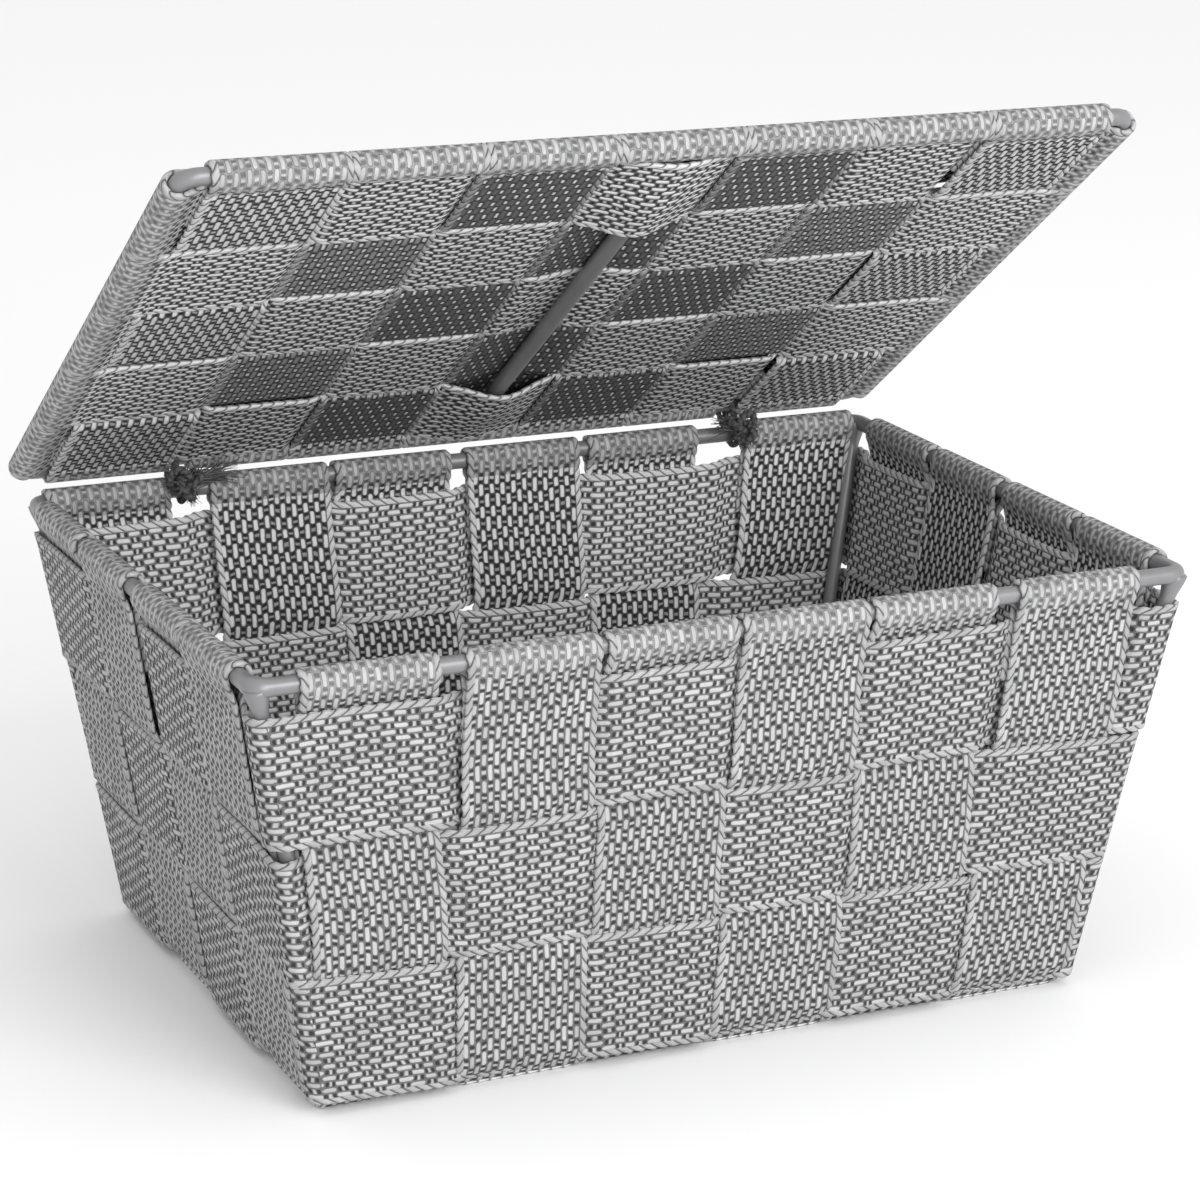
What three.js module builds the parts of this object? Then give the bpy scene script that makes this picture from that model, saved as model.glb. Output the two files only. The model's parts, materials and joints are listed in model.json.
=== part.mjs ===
// Storage box of woven webbing on a wire frame, with a woven lid tied to its back rim.
// Millimetres, +Z up, front towards -Y. The lid stands part open, as it rests here.
import * as THREE from 'three';

// Wire frame, sizes to the centre lines of the wires
const wireDiameter = 5;
const uprightDiameter = 4.4;
const rimWidth = 280;
const rimDepth = 193;
const rimHeight = 128.5;
const rimCornerRadius = 3.5;
const baseCornerRadius = 6;
const lidCornerRadius = 5;
const lidOverhang = 2.5;
const lidOverlap = 0.9;
const lidOpenAngle = 36.6;

// Woven basket, sizes to the middle surface of its walls at the base
const baseWidth = 237;
const baseDepth = 164;
const webThickness = 1.5;
const boxWebWidth = 36.5;
const rowCount = 3;
const rowGap = 3.3;
const firstRowDrop = 9;
const bandBendRadius = 2.5;
const cornerRoom = 3.4;
const rimSideRoom = 13.1;
const rimFrontRoom = 15.4;
const innerFan = 1.08;
const fanPower = 2.5;
const tuckLength = 34;

// Woven lid
const lidWebWidth = 35;
const lidWebGap = 2.1;
const lidEdgeRoom = 5.5;

// Cord ties
const cordDiameter = 1.8;
const tieTurns = 1.5;
const tieRoom = 1.9;
const turnGap = 0.45;
const knotLoop = 1.7;
const knotLift = 1.9;
const knotDrop = 0.9;

// Clearances
const seatGap = 0.3;
const lidSeatGap = 2;
const wrapGap = 0.45;
const weaveGap = 0.6;
const tuckGap = 0.5;
const leastWebGap = 2.1;
const rampMargin = 0.5;
const bendMargin = 0.6;
const foldMargin = 1.5;
const cornerRampSlope = 0.45;
const cornerRampShare = 0.8;

// Facets
const wireSides = 10;
const wrapSteps = 8;
const cornerSteps = 4;
const bandCornerSteps = 3;
const cordSides = 6;
const turnSteps = 24;
const knotSteps = 54;

// Values that follow from the sizes above
const wireRadius = wireDiameter / 2;
const uprightRadius = uprightDiameter / 2;
const cordRadius = cordDiameter / 2;
const halfWeb = webThickness / 2;
const wrapRadius = wireRadius + wrapGap + halfWeb;
const wrapReach = wrapRadius + halfWeb;
const crossHalf = (webThickness + weaveGap) / 2;
const tuckStep = webThickness + tuckGap;
const baseMiddle = crossHalf + halfWeb;
const wallRise = rimHeight - baseMiddle;
const halfRim = { x: rimWidth / 2, y: rimDepth / 2 };
const halfBase = { x: baseWidth / 2, y: baseDepth / 2 };
const tilt = {
  x: Math.atan2(halfRim.x - halfBase.x, wallRise),
  y: Math.atan2(halfRim.y - halfBase.y, wallRise),
};
const bandRise = boxWebWidth * Math.cos(tilt.y);
const lidWidth = rimWidth + 2 * lidOverhang;
const lidDepth = rimDepth + 2 * lidOverlap;
const lidLift = 2 * wrapReach + lidSeatGap;
const tiePitch = cordDiameter + turnGap;
const tieSlot = tieTurns * tiePitch + cordDiameter + 2 * seatGap;

const wireMaterial = new THREE.MeshStandardMaterial({ color: 0x85868a, roughness: 0.45, metalness: 0.3 });
const webMaterial = new THREE.MeshStandardMaterial({ color: 0xb4b4b4, roughness: 0.9, metalness: 0 });
const cordMaterial = new THREE.MeshStandardMaterial({ color: 0x3c3c3e, roughness: 0.95, metalness: 0 });

// Plain geometry helpers

function triangleGeometry(points, triangles) {
  const geometry = new THREE.BufferGeometry();
  const positions = points.flatMap((point) => [point.x, point.y, point.z]);
  geometry.setAttribute('position', new THREE.Float32BufferAttribute(positions, 3));
  geometry.setIndex(triangles.flat());
  return geometry;
}

// Skin over a run of rings with equal counts of points; a closed run joins its last ring to its first.
function ringSkin(rings, closed) {
  const count = rings[0].length;
  const points = rings.flat();
  const triangles = [];
  const spans = closed ? rings.length : rings.length - 1;
  for (let ring = 0; ring < spans; ring += 1) {
    const here = ring * count;
    const next = ((ring + 1) % rings.length) * count;
    for (let side = 0; side < count; side += 1) {
      const turn = (side + 1) % count;
      triangles.push([here + side, here + turn, next + turn]);
      triangles.push([here + side, next + turn, next + side]);
    }
  }
  if (!closed) {
    const last = (rings.length - 1) * count;
    for (let side = 1; side < count - 1; side += 1) {
      triangles.push([0, side + 1, side]);
      triangles.push([last, last + side, last + side + 1]);
    }
  }
  return triangleGeometry(points, triangles);
}

function tangents(path, closed) {
  return path.map((point, index) => {
    const last = path.length - 1;
    const before = path[closed ? (index + last) % path.length : Math.max(index - 1, 0)];
    const after = path[closed ? (index + 1) % path.length : Math.min(index + 1, last)];
    return after.clone().sub(before).normalize();
  });
}

// Round tube along a path, its section kept level with the given up direction.
function tubeAlong(path, radius, sides, closed, up) {
  const ahead = tangents(path, closed);
  const rings = path.map((point, index) => {
    const across = new THREE.Vector3().crossVectors(ahead[index], up).normalize();
    const below = new THREE.Vector3().crossVectors(ahead[index], across);
    return Array.from({ length: sides }, (_, side) => {
      const angle = (2 * Math.PI * side) / sides;
      const offset = across.clone().multiplyScalar(Math.cos(angle) * radius);
      return offset.addScaledVector(below, Math.sin(angle) * radius).add(point);
    });
  });
  return ringSkin(rings, closed);
}

// Round tube along a curling path: each section is turned as little as possible from the one before.
function cordAlong(path, radius, sides, closed) {
  const ahead = tangents(path, closed);
  let across = new THREE.Vector3(1, 0, 0).cross(ahead[0]).normalize();
  const frames = ahead.map((direction) => {
    across = across.clone().addScaledVector(direction, -across.dot(direction)).normalize();
    return across;
  });
  const twist = closed ? closingTwist(frames, ahead) : 0;
  const rings = path.map((point, index) => {
    const spin = (twist * index) / path.length;
    const first = frames[index].clone().applyAxisAngle(ahead[index], spin);
    const second = new THREE.Vector3().crossVectors(ahead[index], first);
    return Array.from({ length: sides }, (_, side) => {
      const angle = (2 * Math.PI * side) / sides;
      const offset = first.clone().multiplyScalar(Math.cos(angle) * radius);
      return offset.addScaledVector(second, Math.sin(angle) * radius).add(point);
    });
  });
  return ringSkin(rings, closed);
}

// Turn that brings the last carried section of a closed tube back onto its first one.
function closingTwist(frames, ahead) {
  const carried = frames[frames.length - 1].clone();
  carried.addScaledVector(ahead[0], -carried.dot(ahead[0])).normalize();
  const sine = new THREE.Vector3().crossVectors(carried, frames[0]).dot(ahead[0]);
  return Math.atan2(sine, carried.dot(frames[0]));
}

// Level rectangle with rounded corners, anticlockwise from the front right corner.
function roundedLoop(halfX, halfY, radius, height, steps) {
  const corners = [[1, -1], [1, 1], [-1, 1], [-1, -1]];
  return corners.flatMap(([signX, signY], corner) => {
    const start = (corner - 1) * (Math.PI / 2);
    return Array.from({ length: steps + 1 }, (_, step) => {
      const angle = start + ((Math.PI / 2) * step) / steps;
      const x = signX * (halfX - radius) + radius * Math.cos(angle);
      const y = signY * (halfY - radius) + radius * Math.sin(angle);
      return new THREE.Vector3(x, y, height);
    });
  });
}

// Flat web seen from its edge: a line of points thickened to both sides with mitred bends.
function thickened(line, half, closed) {
  const count = line.length;
  const sideOf = (from, to) => new THREE.Vector2(from.y - to.y, to.x - from.x).normalize();
  const offsets = line.map((point, index) => {
    const before = line[closed ? (index + count - 1) % count : Math.max(index - 1, 0)];
    const after = line[closed ? (index + 1) % count : Math.min(index + 1, count - 1)];
    const first = before === point ? sideOf(point, after) : sideOf(before, point);
    const second = after === point ? first : sideOf(point, after);
    const mitre = first.clone().add(second).normalize();
    return mitre.multiplyScalar(half / mitre.dot(first));
  });
  const left = line.map((point, index) => point.clone().add(offsets[index]));
  const right = line.map((point, index) => point.clone().sub(offsets[index]));
  return { left, right };
}

// Web of a given edge line carried across its width; place() puts an edge point and a side (0 or 1) in space.
function webGeometry(line, place) {
  const { left, right } = thickened(line, halfWeb, false);
  const outline = [...right, ...left.reverse()];
  const geometry = new THREE.ExtrudeGeometry(new THREE.Shape(outline), { depth: 1, bevelEnabled: false });
  const positions = geometry.getAttribute('position');
  for (let index = 0; index < positions.count; index += 1) {
    const point = place(positions.getX(index), positions.getY(index), positions.getZ(index));
    positions.setXYZ(index, point.x, point.y, point.z);
  }
  return geometry;
}

// Fold of a web end round a wire at the local origin, from the tucked end to the main run.
// Local x runs from the wire into the weave and y across it; side is the side that the main run keeps to.
function foldRound(distance, mainLevel, tuckLevel, side) {
  const touch = (level, hand) => {
    const reach = Math.hypot(distance, level);
    return Math.atan2(level, distance) + hand * Math.acos(wrapRadius / reach);
  };
  const from = touch(tuckLevel, -side);
  const to = touch(mainLevel, side) - side * 2 * Math.PI;
  const points = [new THREE.Vector2(tuckLength, tuckLevel), new THREE.Vector2(distance, tuckLevel)];
  for (let step = 0; step <= wrapSteps; step += 1) {
    const angle = from + ((to - from) * step) / wrapSteps;
    points.push(new THREE.Vector2(wrapRadius * Math.cos(angle), wrapRadius * Math.sin(angle)));
  }
  points.push(new THREE.Vector2(distance, mainLevel));
  return points;
}

function evenly(count, pitch) {
  return Array.from({ length: count }, (_, index) => (index - (count - 1) / 2) * pitch);
}

// Box weave: places of the straps on the base and at the rim

function basePlaces(width) {
  const room = width - 2 * cornerRoom;
  const count = Math.floor((room + leastWebGap) / (boxWebWidth + leastWebGap));
  return evenly(count, (room - boxWebWidth) / Math.max(count - 1, 1));
}

const alongBase = basePlaces(baseWidth);
const acrossBase = basePlaces(baseDepth);

// Lid weave: places of the straps, with a wider slot beside the outer ones for the ties

const lidAlongCount = Math.floor(
  (lidWidth - 2 * lidEdgeRoom - 2 * tieSlot + 3 * lidWebGap) / (lidWebWidth + lidWebGap),
);
const lidAcrossFit = Math.floor((lidDepth - 2 * lidEdgeRoom + lidWebGap) / (lidWebWidth + lidWebGap));
const lidAcrossCount = 2 * Math.floor((lidAcrossFit - 1) / 2) + 1;
const lidAcrossPitch = (lidDepth - 2 * lidEdgeRoom - lidWebWidth) / Math.max(lidAcrossCount - 1, 1);
const lidAlong = evenly(lidAlongCount, lidWebWidth + lidWebGap);
lidAlong[0] -= tieSlot - lidWebGap;
lidAlong[lidAlongCount - 1] += tieSlot - lidWebGap;
const lidFrontY = lidOverlap - lidDepth;
const lidAcross = evenly(lidAcrossCount, lidAcrossPitch).map((place) => place + lidOverlap - lidDepth / 2);
const tieX = lidAlong[lidAlongCount - 1] - lidWebWidth / 2 - tieSlot / 2;

// At the back rim the outer straps stand just outside the ties, and the inner ones fan out from the base.
// At the front and the sides the outer straps stand a set room from the corners of the rim.
const outerBackX = tieX + (tieSlot + boxWebWidth) / 2 + tieRoom;
const outerFrontX = halfRim.x - rimFrontRoom - boxWebWidth / 2;
const alongBackRim = alongBase.map((place, index) => {
  const outer = index === 0 || index === alongBase.length - 1;
  return outer ? Math.sign(place) * outerBackX : place * innerFan;
});
const alongFrontRim = evenly(alongBase.length, (2 * outerFrontX) / Math.max(alongBase.length - 1, 1));
const outerRimY = halfRim.y - rimSideRoom - boxWebWidth / 2;
const sideFan = outerRimY / acrossBase[acrossBase.length - 1];
const acrossRim = acrossBase.map((place) => place * sideFan);

function riseShare(height) {
  return Math.max((height - baseMiddle) / wallRise, 0);
}

// Straps leave the base straight up and fan out more and more towards the rim.
function placeAt(base, rim, height) {
  return base + (rim - base) * riseShare(height) ** fanPower;
}

function wallHalf(axis, height) {
  return halfBase[axis] + (halfRim[axis] - halfBase[axis]) * riseShare(height);
}

function rowTop(row) {
  return rimHeight - firstRowDrop - row * (bandRise + rowGap);
}

function rowBottom(row) {
  return rowTop(row) - bandRise;
}

// A strap runs outside a band where the count of crossings from the rim is odd, so it turns at every row.
function strapOutside(index, end, row) {
  return (index + end + rowCount - row) % 2 === 1;
}

function strapLevel(outside, row) {
  const step = row === 0 ? tuckStep : crossHalf;
  return outside ? step : -step;
}

// Box strap in its own upright plane: up one wall, under the base and up the other.
// flags tells for each end and row if the strap is outside; under tells for each crossing if it lies lowest.
function boxStrapLine(axis, flags, crossings, under) {
  const wallLine = (sign, outside) => {
    const sine = Math.sin(tilt[axis]);
    const cosine = Math.cos(tilt[axis]);
    const at = (drop, level) => new THREE.Vector2(
      sign * (halfRim[axis] - drop * sine + level * cosine),
      rimHeight - drop * cosine - level * sine,
    );
    const dropTo = (height) => (rimHeight - height) / cosine;
    const side = outside[0] ? 1 : -1;
    const fold = foldRound(dropTo(rowTop(0)) - foldMargin, strapLevel(outside[0], 0), 0, side);
    const points = fold.map((point) => at(point.x, point.y));
    for (let row = 0; row < rowCount - 1; row += 1) {
      points.push(at(dropTo(rowBottom(row)) + rampMargin, strapLevel(outside[row], row)));
      points.push(at(dropTo(rowTop(row + 1)) - rampMargin, strapLevel(outside[row + 1], row + 1)));
    }
    return { points, at, dropTo, level: strapLevel(outside[rowCount - 1], rowCount - 1) };
  };
  const heights = under.map((low) => (low ? halfWeb : halfWeb + 2 * crossHalf));
  const turn = (wall, height) => {
    const corner = wall.at(wall.dropTo(height), wall.level);
    const up = wall.at(wall.dropTo(height) - foldMargin, wall.level);
    const inward = new THREE.Vector2(corner.x - Math.sign(corner.x) * foldMargin, height);
    const middle = up.clone().lerp(inward, 0.5).lerp(corner, 0.5);
    return [up, middle, inward];
  };
  const near = wallLine(-1, flags[0]);
  const far = wallLine(1, flags[1]);
  const line = [...near.points, ...turn(near, heights[0])];
  for (let index = 0; index < crossings.length - 1; index += 1) {
    const leave = crossings[index] + boxWebWidth / 2 + rampMargin;
    const reach = crossings[index + 1] - boxWebWidth / 2 - rampMargin;
    if (heights[index] !== heights[index + 1]) {
      line.push(new THREE.Vector2(leave, heights[index]));
      line.push(new THREE.Vector2(reach, heights[index + 1]));
    }
  }
  return [...line, ...turn(far, heights[crossings.length - 1]).reverse(), ...far.points.reverse()];
}

const rows = Array.from({ length: rowCount }, (_, row) => row);
const alongCount = alongBase.length;
const acrossCount = acrossBase.length;

// Front-to-back straps are lowest on the base where the two strap numbers add to an even count.
function alongFlags(index) {
  const front = rows.map((row) => strapOutside(index + 1, 2, row));
  const back = rows.map((row) => strapOutside(index + 1, acrossCount + 1, row));
  return [front, back];
}

function acrossFlags(index) {
  const left = rows.map((row) => !strapOutside(index + 1, 2, row));
  const right = rows.map((row) => !strapOutside(index + 1, alongCount + 1, row));
  return [left, right];
}

function boxAlongStrap(index) {
  const under = acrossBase.map((_, cross) => (index + cross) % 2 === 0);
  const line = boxStrapLine('y', alongFlags(index), acrossBase, under);
  return webGeometry(line, (y, z, side) => {
    const rim = y < 0 ? alongFrontRim : alongBackRim;
    const centre = placeAt(alongBase[index], rim[index], z);
    return new THREE.Vector3(centre + (side - 0.5) * boxWebWidth, y, z);
  });
}

function boxAcrossStrap(index) {
  const under = alongBase.map((_, cross) => (index + cross) % 2 === 1);
  const line = boxStrapLine('x', acrossFlags(index), alongBase, under);
  return webGeometry(line, (x, z, side) => {
    const centre = placeAt(acrossBase[index], acrossRim[index], z);
    return new THREE.Vector3(x, centre - (side - 0.5) * boxWebWidth, z);
  });
}

// One wall of a band in plan: pairs of place along the wall and level, from one corner to the next.
function bandWall(places, outside, row, start, end) {
  const cornerLevel = strapLevel(true, row);
  const levels = outside.map((strapIsOutside) => strapLevel(!strapIsOutside, row));
  const pairs = [];
  const first = places[0] - boxWebWidth / 2;
  const last = places[places.length - 1] + boxWebWidth / 2;
  const run = (room) => Math.min(cornerRampSlope * 2 * cornerLevel, cornerRampShare * room);
  pairs.push([start, cornerLevel]);
  if (levels[0] !== cornerLevel) {
    const foot = first - bendMargin;
    pairs.push([foot - run(foot - start), cornerLevel]);
    pairs.push([foot, levels[0]]);
  }
  for (let index = 0; index < places.length - 1; index += 1) {
    pairs.push([places[index] + boxWebWidth / 2 + rampMargin, levels[index]]);
    pairs.push([places[index + 1] - boxWebWidth / 2 - rampMargin, levels[index + 1]]);
  }
  if (levels[levels.length - 1] !== cornerLevel) {
    const foot = last + bendMargin;
    pairs.push([foot, levels[levels.length - 1]]);
    pairs.push([foot + run(end - foot), cornerLevel]);
  }
  pairs.push([end, cornerLevel]);
  return pairs;
}

// Band outline in plan at one height, anticlockwise from the front left corner.
function bandLine(row, height) {
  const level = strapLevel(true, row);
  const half = { x: wallHalf('x', height), y: wallHalf('y', height) };
  const reach = { x: half.x + level - bandBendRadius, y: half.y + level - bandBendRadius };
  const along = (rim) => alongBase.map((place, index) => placeAt(place, rim[index], height));
  const across = acrossBase.map((place, index) => placeAt(place, acrossRim[index], height));
  const alongOut = alongBase.map((_, index) => alongFlags(index).map((flags) => flags[row]));
  const acrossOut = acrossBase.map((_, index) => acrossFlags(index).map((flags) => flags[row]));
  const corner = (signX, signY, start) => Array.from({ length: bandCornerSteps - 1 }, (_, step) => {
    const angle = start + ((Math.PI / 2) * (step + 1)) / bandCornerSteps;
    const x = signX * reach.x + bandBendRadius * Math.cos(angle);
    const y = signY * reach.y + bandBendRadius * Math.sin(angle);
    return new THREE.Vector2(x, y);
  });
  const frontOut = alongOut.map((flags) => flags[0]);
  const backOut = alongOut.map((flags) => flags[1]);
  const front = bandWall(along(alongFrontRim), frontOut, row, -reach.x, reach.x);
  const back = bandWall(along(alongBackRim), backOut, row, -reach.x, reach.x);
  const left = bandWall(across, acrossOut.map((flags) => flags[0]), row, -reach.y, reach.y);
  const right = bandWall(across, acrossOut.map((flags) => flags[1]), row, -reach.y, reach.y);
  return [
    ...front.map(([x, out]) => new THREE.Vector2(x, -half.y - out)),
    ...corner(1, -1, -Math.PI / 2),
    ...right.map(([y, out]) => new THREE.Vector2(half.x + out, y)),
    ...corner(1, 1, 0),
    ...back.reverse().map(([x, out]) => new THREE.Vector2(x, half.y + out)),
    ...corner(-1, 1, Math.PI / 2),
    ...left.reverse().map(([y, out]) => new THREE.Vector2(-half.x - out, y)),
    ...corner(-1, -1, Math.PI),
  ];
}

// Band ring: the same outline at its lower and upper edge, each with an outer and an inner side.
function bandGeometry(row) {
  const edge = (height) => {
    const { left, right } = thickened(bandLine(row, height), halfWeb, true);
    const lift = (points) => points.map((point) => new THREE.Vector3(point.x, point.y, height));
    return { inner: lift(left), outer: lift(right) };
  };
  const low = edge(rowBottom(row));
  const high = edge(rowTop(row));
  const section = low.outer.map((point, index) => [point, high.outer[index], high.inner[index], low.inner[index]]);
  return ringSkin(section.map((ring) => ring.reverse()), true);
}

// Lid weave: levels of the layers at each crossing, counted up from the underside

function lidLayers(along, across) {
  const alongLow = (along + across) % 2 === 0;
  const alongEnd = across === 0 || across === lidAcrossCount - 1;
  const acrossEnd = along === 0 || along === lidAlongCount - 1;
  const count = 2 + Number(alongEnd) + Number(acrossEnd);
  const spacing = count === 2 ? 2 * crossHalf : tuckStep;
  const outer = ((count - 1) / 2) * spacing;
  const low = { main: -outer, tuck: spacing - outer };
  const high = { main: outer, tuck: outer - spacing };
  return alongLow ? { along: low, across: high, alongLow } : { along: high, across: low, alongLow };
}

// Stiffening bar under the lid, and the depth at which the end straps pass below it
const barColumn = 2 * Math.round((lidAlongCount + 1) / 4) - 1;
const barX = lidAlong[barColumn];
const barLevel = -(crossHalf + halfWeb + seatGap + wireRadius);
const belowBar = barLevel - wireRadius - seatGap - halfWeb;

// Lid strap in its own upright plane, from one wire to the other. dips are detours below the bar.
function lidStrapLine(start, end, places, layers, dips) {
  const last = places.length - 1;
  const room = Math.min(places[0] - start, end - places[last]) - lidWebWidth / 2;
  const distance = room - rampMargin;
  const fold = (layer) => foldRound(distance, layer.main, layer.tuck, Math.sign(layer.main));
  const line = fold(layers[0]).map((point) => new THREE.Vector2(start + point.x, point.y));
  for (let index = 0; index <= last; index += 1) {
    if (dips[index]) {
      line.push(new THREE.Vector2(places[index] - lidWebWidth / 2 + foldMargin, layers[index].main));
      line.push(new THREE.Vector2(places[index] - foldMargin, belowBar));
      line.push(new THREE.Vector2(places[index] + foldMargin, belowBar));
      line.push(new THREE.Vector2(places[index] + lidWebWidth / 2 - foldMargin, layers[index].main));
    }
    if (index < last) {
      line.push(new THREE.Vector2(places[index] + lidWebWidth / 2 + rampMargin, layers[index].main));
      line.push(new THREE.Vector2(places[index + 1] - lidWebWidth / 2 - rampMargin, layers[index + 1].main));
    }
  }
  const closing = fold(layers[last]).map((point) => new THREE.Vector2(end - point.x, point.y));
  return [...line, ...closing.reverse()];
}

function lidAlongStrap(index) {
  const layers = lidAcross.map((_, cross) => lidLayers(index, cross).along);
  const line = lidStrapLine(lidFrontY, lidOverlap, lidAcross, layers, []);
  return webGeometry(line, (y, level, side) => new THREE.Vector3(
    lidAlong[index] + (side - 0.5) * lidWebWidth, y, lidLift + level,
  ));
}

function lidAcrossStrap(index) {
  const layers = lidAlong.map((_, cross) => lidLayers(cross, index).across);
  const endStrap = index === 0 || index === lidAcrossCount - 1;
  const dips = lidAlong.map((_, cross) => endStrap && cross === barColumn);
  const line = lidStrapLine(-lidWidth / 2, lidWidth / 2, lidAlong, layers, dips);
  return webGeometry(line, (x, level, side) => new THREE.Vector3(
    x, lidAcross[index] - (side - 0.5) * lidWebWidth, lidLift + level,
  ));
}

// Wires

function loopWire(halfX, halfY, radius, height) {
  const path = roundedLoop(halfX, halfY, radius, height, cornerSteps);
  return tubeAlong(path, wireRadius, wireSides, true, new THREE.Vector3(0, 0, 1));
}

const baseWireHeight = baseMiddle + crossHalf + halfWeb + seatGap + wireRadius;
const baseWireInset = crossHalf + halfWeb + seatGap + wireRadius;
const halfBaseWire = {
  x: wallHalf('x', baseWireHeight) - baseWireInset / Math.cos(tilt.x),
  y: wallHalf('y', baseWireHeight) - baseWireInset / Math.cos(tilt.y),
};

// Middle of a rounded corner, where an upright stands.
function cornerMiddle(halfX, halfY, radius) {
  const inset = radius * (1 - Math.SQRT1_2);
  return { x: halfX - inset, y: halfY - inset };
}

function uprightWire(signX, signY) {
  const foot = cornerMiddle(halfBaseWire.x, halfBaseWire.y, baseCornerRadius);
  const head = cornerMiddle(halfRim.x, halfRim.y, rimCornerRadius);
  const ring = (place, height) => Array.from({ length: wireSides }, (_, side) => {
    const angle = (2 * Math.PI * side) / wireSides;
    const x = signX * place.x + uprightRadius * Math.cos(angle);
    const y = signY * place.y + uprightRadius * Math.sin(angle);
    return new THREE.Vector3(x, y, height);
  });
  const bottom = ring(foot, baseWireHeight + wireRadius + seatGap);
  const top = ring(head, rimHeight - wireRadius - seatGap);
  return ringSkin([bottom, top], false);
}

function barWire() {
  const inset = wrapReach + seatGap;
  const ends = [lidFrontY + inset, lidOverlap - inset];
  const path = ends.map((y) => new THREE.Vector3(barX, y, lidLift + barLevel));
  return tubeAlong(path, wireRadius, wireSides, false, new THREE.Vector3(0, 0, 1));
}

// Cord ties: turns round the rim wire and the lid wire together, then a knot on the inside

const tieRadius = wireRadius + seatGap + cordRadius;

// Point of the oval that a tie follows round both wires, by its share of one turn.
function tieOval(share) {
  const span = Math.hypot(lidOverlap, lidLift);
  const lean = Math.atan2(lidLift, lidOverlap);
  const bow = Math.PI * tieRadius;
  const way = share * 2 * (span + bow);
  const spot = new THREE.Vector2();
  if (way < span) {
    spot.set(way, -tieRadius);
  } else if (way < span + bow) {
    const angle = (way - span) / tieRadius - Math.PI / 2;
    spot.set(span + tieRadius * Math.cos(angle), tieRadius * Math.sin(angle));
  } else if (way < 2 * span + bow) {
    spot.set(2 * span + bow - way, tieRadius);
  } else {
    const angle = (way - 2 * span - bow) / tieRadius + Math.PI / 2;
    spot.set(tieRadius * Math.cos(angle), tieRadius * Math.sin(angle));
  }
  return spot.rotateAround(new THREE.Vector2(), lean);
}

function tiePath(sign) {
  const count = tieTurns * turnSteps;
  return Array.from({ length: count + 1 }, (_, step) => {
    const turn = step / turnSteps;
    const spot = tieOval(turn % 1);
    const x = sign * (tieX - (turn - tieTurns / 2) * tiePitch);
    return new THREE.Vector3(x, spot.x, spot.y);
  });
}

// Overhand knot: a trefoil laid flat against the inside of the turns.
function knotPath(sign) {
  const depth = -(tieRadius + 2 * cordRadius + seatGap + knotLift);
  return Array.from({ length: knotSteps }, (_, step) => {
    const angle = (2 * Math.PI * step) / knotSteps;
    const x = knotLoop * (Math.sin(angle) + 2 * Math.sin(2 * angle));
    const z = knotLoop * (Math.cos(angle) - 2 * Math.cos(2 * angle));
    const y = knotLift * Math.sin(3 * angle);
    return new THREE.Vector3(sign * (tieX + x), depth + y, z - knotDrop);
  });
}

// Least gap of a cord to itself, between points that lie at least a few diameters apart along it.
function leastSelfGap(path, closed) {
  const skip = Math.ceil((3 * cordDiameter) / path[0].distanceTo(path[1]));
  let least = Infinity;
  path.forEach((point, index) => {
    path.forEach((other, place) => {
      const apart = Math.abs(index - place);
      const along = closed ? Math.min(apart, path.length - apart) : apart;
      if (along > skip) {
        least = Math.min(least, point.distanceTo(other));
      }
    });
  });
  return least - cordDiameter;
}

console.log(`least gap of a tie to itself: ${leastSelfGap(tiePath(1), false).toFixed(2)} mm`);
console.log(`least gap of a knot to itself: ${leastSelfGap(knotPath(1), true).toFixed(2)} mm`);

// Assembly. The origin lies on the table, under the middle of the whole part as it rests.

const box = new THREE.Group();
const lid = new THREE.Group();
lid.position.set(0, halfRim.y, rimHeight);
lid.rotation.x = -THREE.MathUtils.degToRad(lidOpenAngle);

function add(group, name, geometry, material) {
  const mesh = new THREE.Mesh(geometry, material);
  mesh.name = name;
  group.add(mesh);
}

add(box, 'rim_wire', loopWire(halfRim.x, halfRim.y, rimCornerRadius, rimHeight), wireMaterial);
add(box, 'base_wire', loopWire(halfBaseWire.x, halfBaseWire.y, baseCornerRadius, baseWireHeight), wireMaterial);
for (const [end, signY] of [['front', -1], ['back', 1]]) {
  for (const [hand, signX] of [['left', -1], ['right', 1]]) {
    add(box, `corner_wire_${end}_${hand}`, uprightWire(signX, signY), wireMaterial);
  }
}
alongBase.forEach((_, index) => add(box, `front_back_strap_${index + 1}`, boxAlongStrap(index), webMaterial));
acrossBase.forEach((_, index) => add(box, `side_strap_${index + 1}`, boxAcrossStrap(index), webMaterial));
['upper', 'middle', 'lower'].forEach((name, row) => add(box, `${name}_band`, bandGeometry(row), webMaterial));

const lidWire = loopWire(lidWidth / 2, lidDepth / 2, lidCornerRadius, lidLift);
lidWire.translate(0, lidOverlap - lidDepth / 2, 0);
add(lid, 'lid_wire', lidWire, wireMaterial);
add(lid, 'lid_bar', barWire(), wireMaterial);
lidAlong.forEach((_, index) => add(lid, `lid_front_back_strap_${index + 1}`, lidAlongStrap(index), webMaterial));
lidAcross.forEach((_, index) => add(lid, `lid_side_strap_${index + 1}`, lidAcrossStrap(index), webMaterial));
for (const [hand, sign] of [['left', -1], ['right', 1]]) {
  add(lid, `hinge_tie_${hand}`, cordAlong(tiePath(sign), cordRadius, cordSides, false), cordMaterial);
  add(lid, `hinge_knot_${hand}`, cordAlong(knotPath(sign), cordRadius, cordSides, true), cordMaterial);
}

const lidBack = new THREE.Vector2(lidOverlap, lidLift).rotateAround(new THREE.Vector2(), lid.rotation.x);
const storageBox = new THREE.Group();
storageBox.add(box, lid);
storageBox.position.y = -lidBack.x / 2;

export default storageBox;
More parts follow.
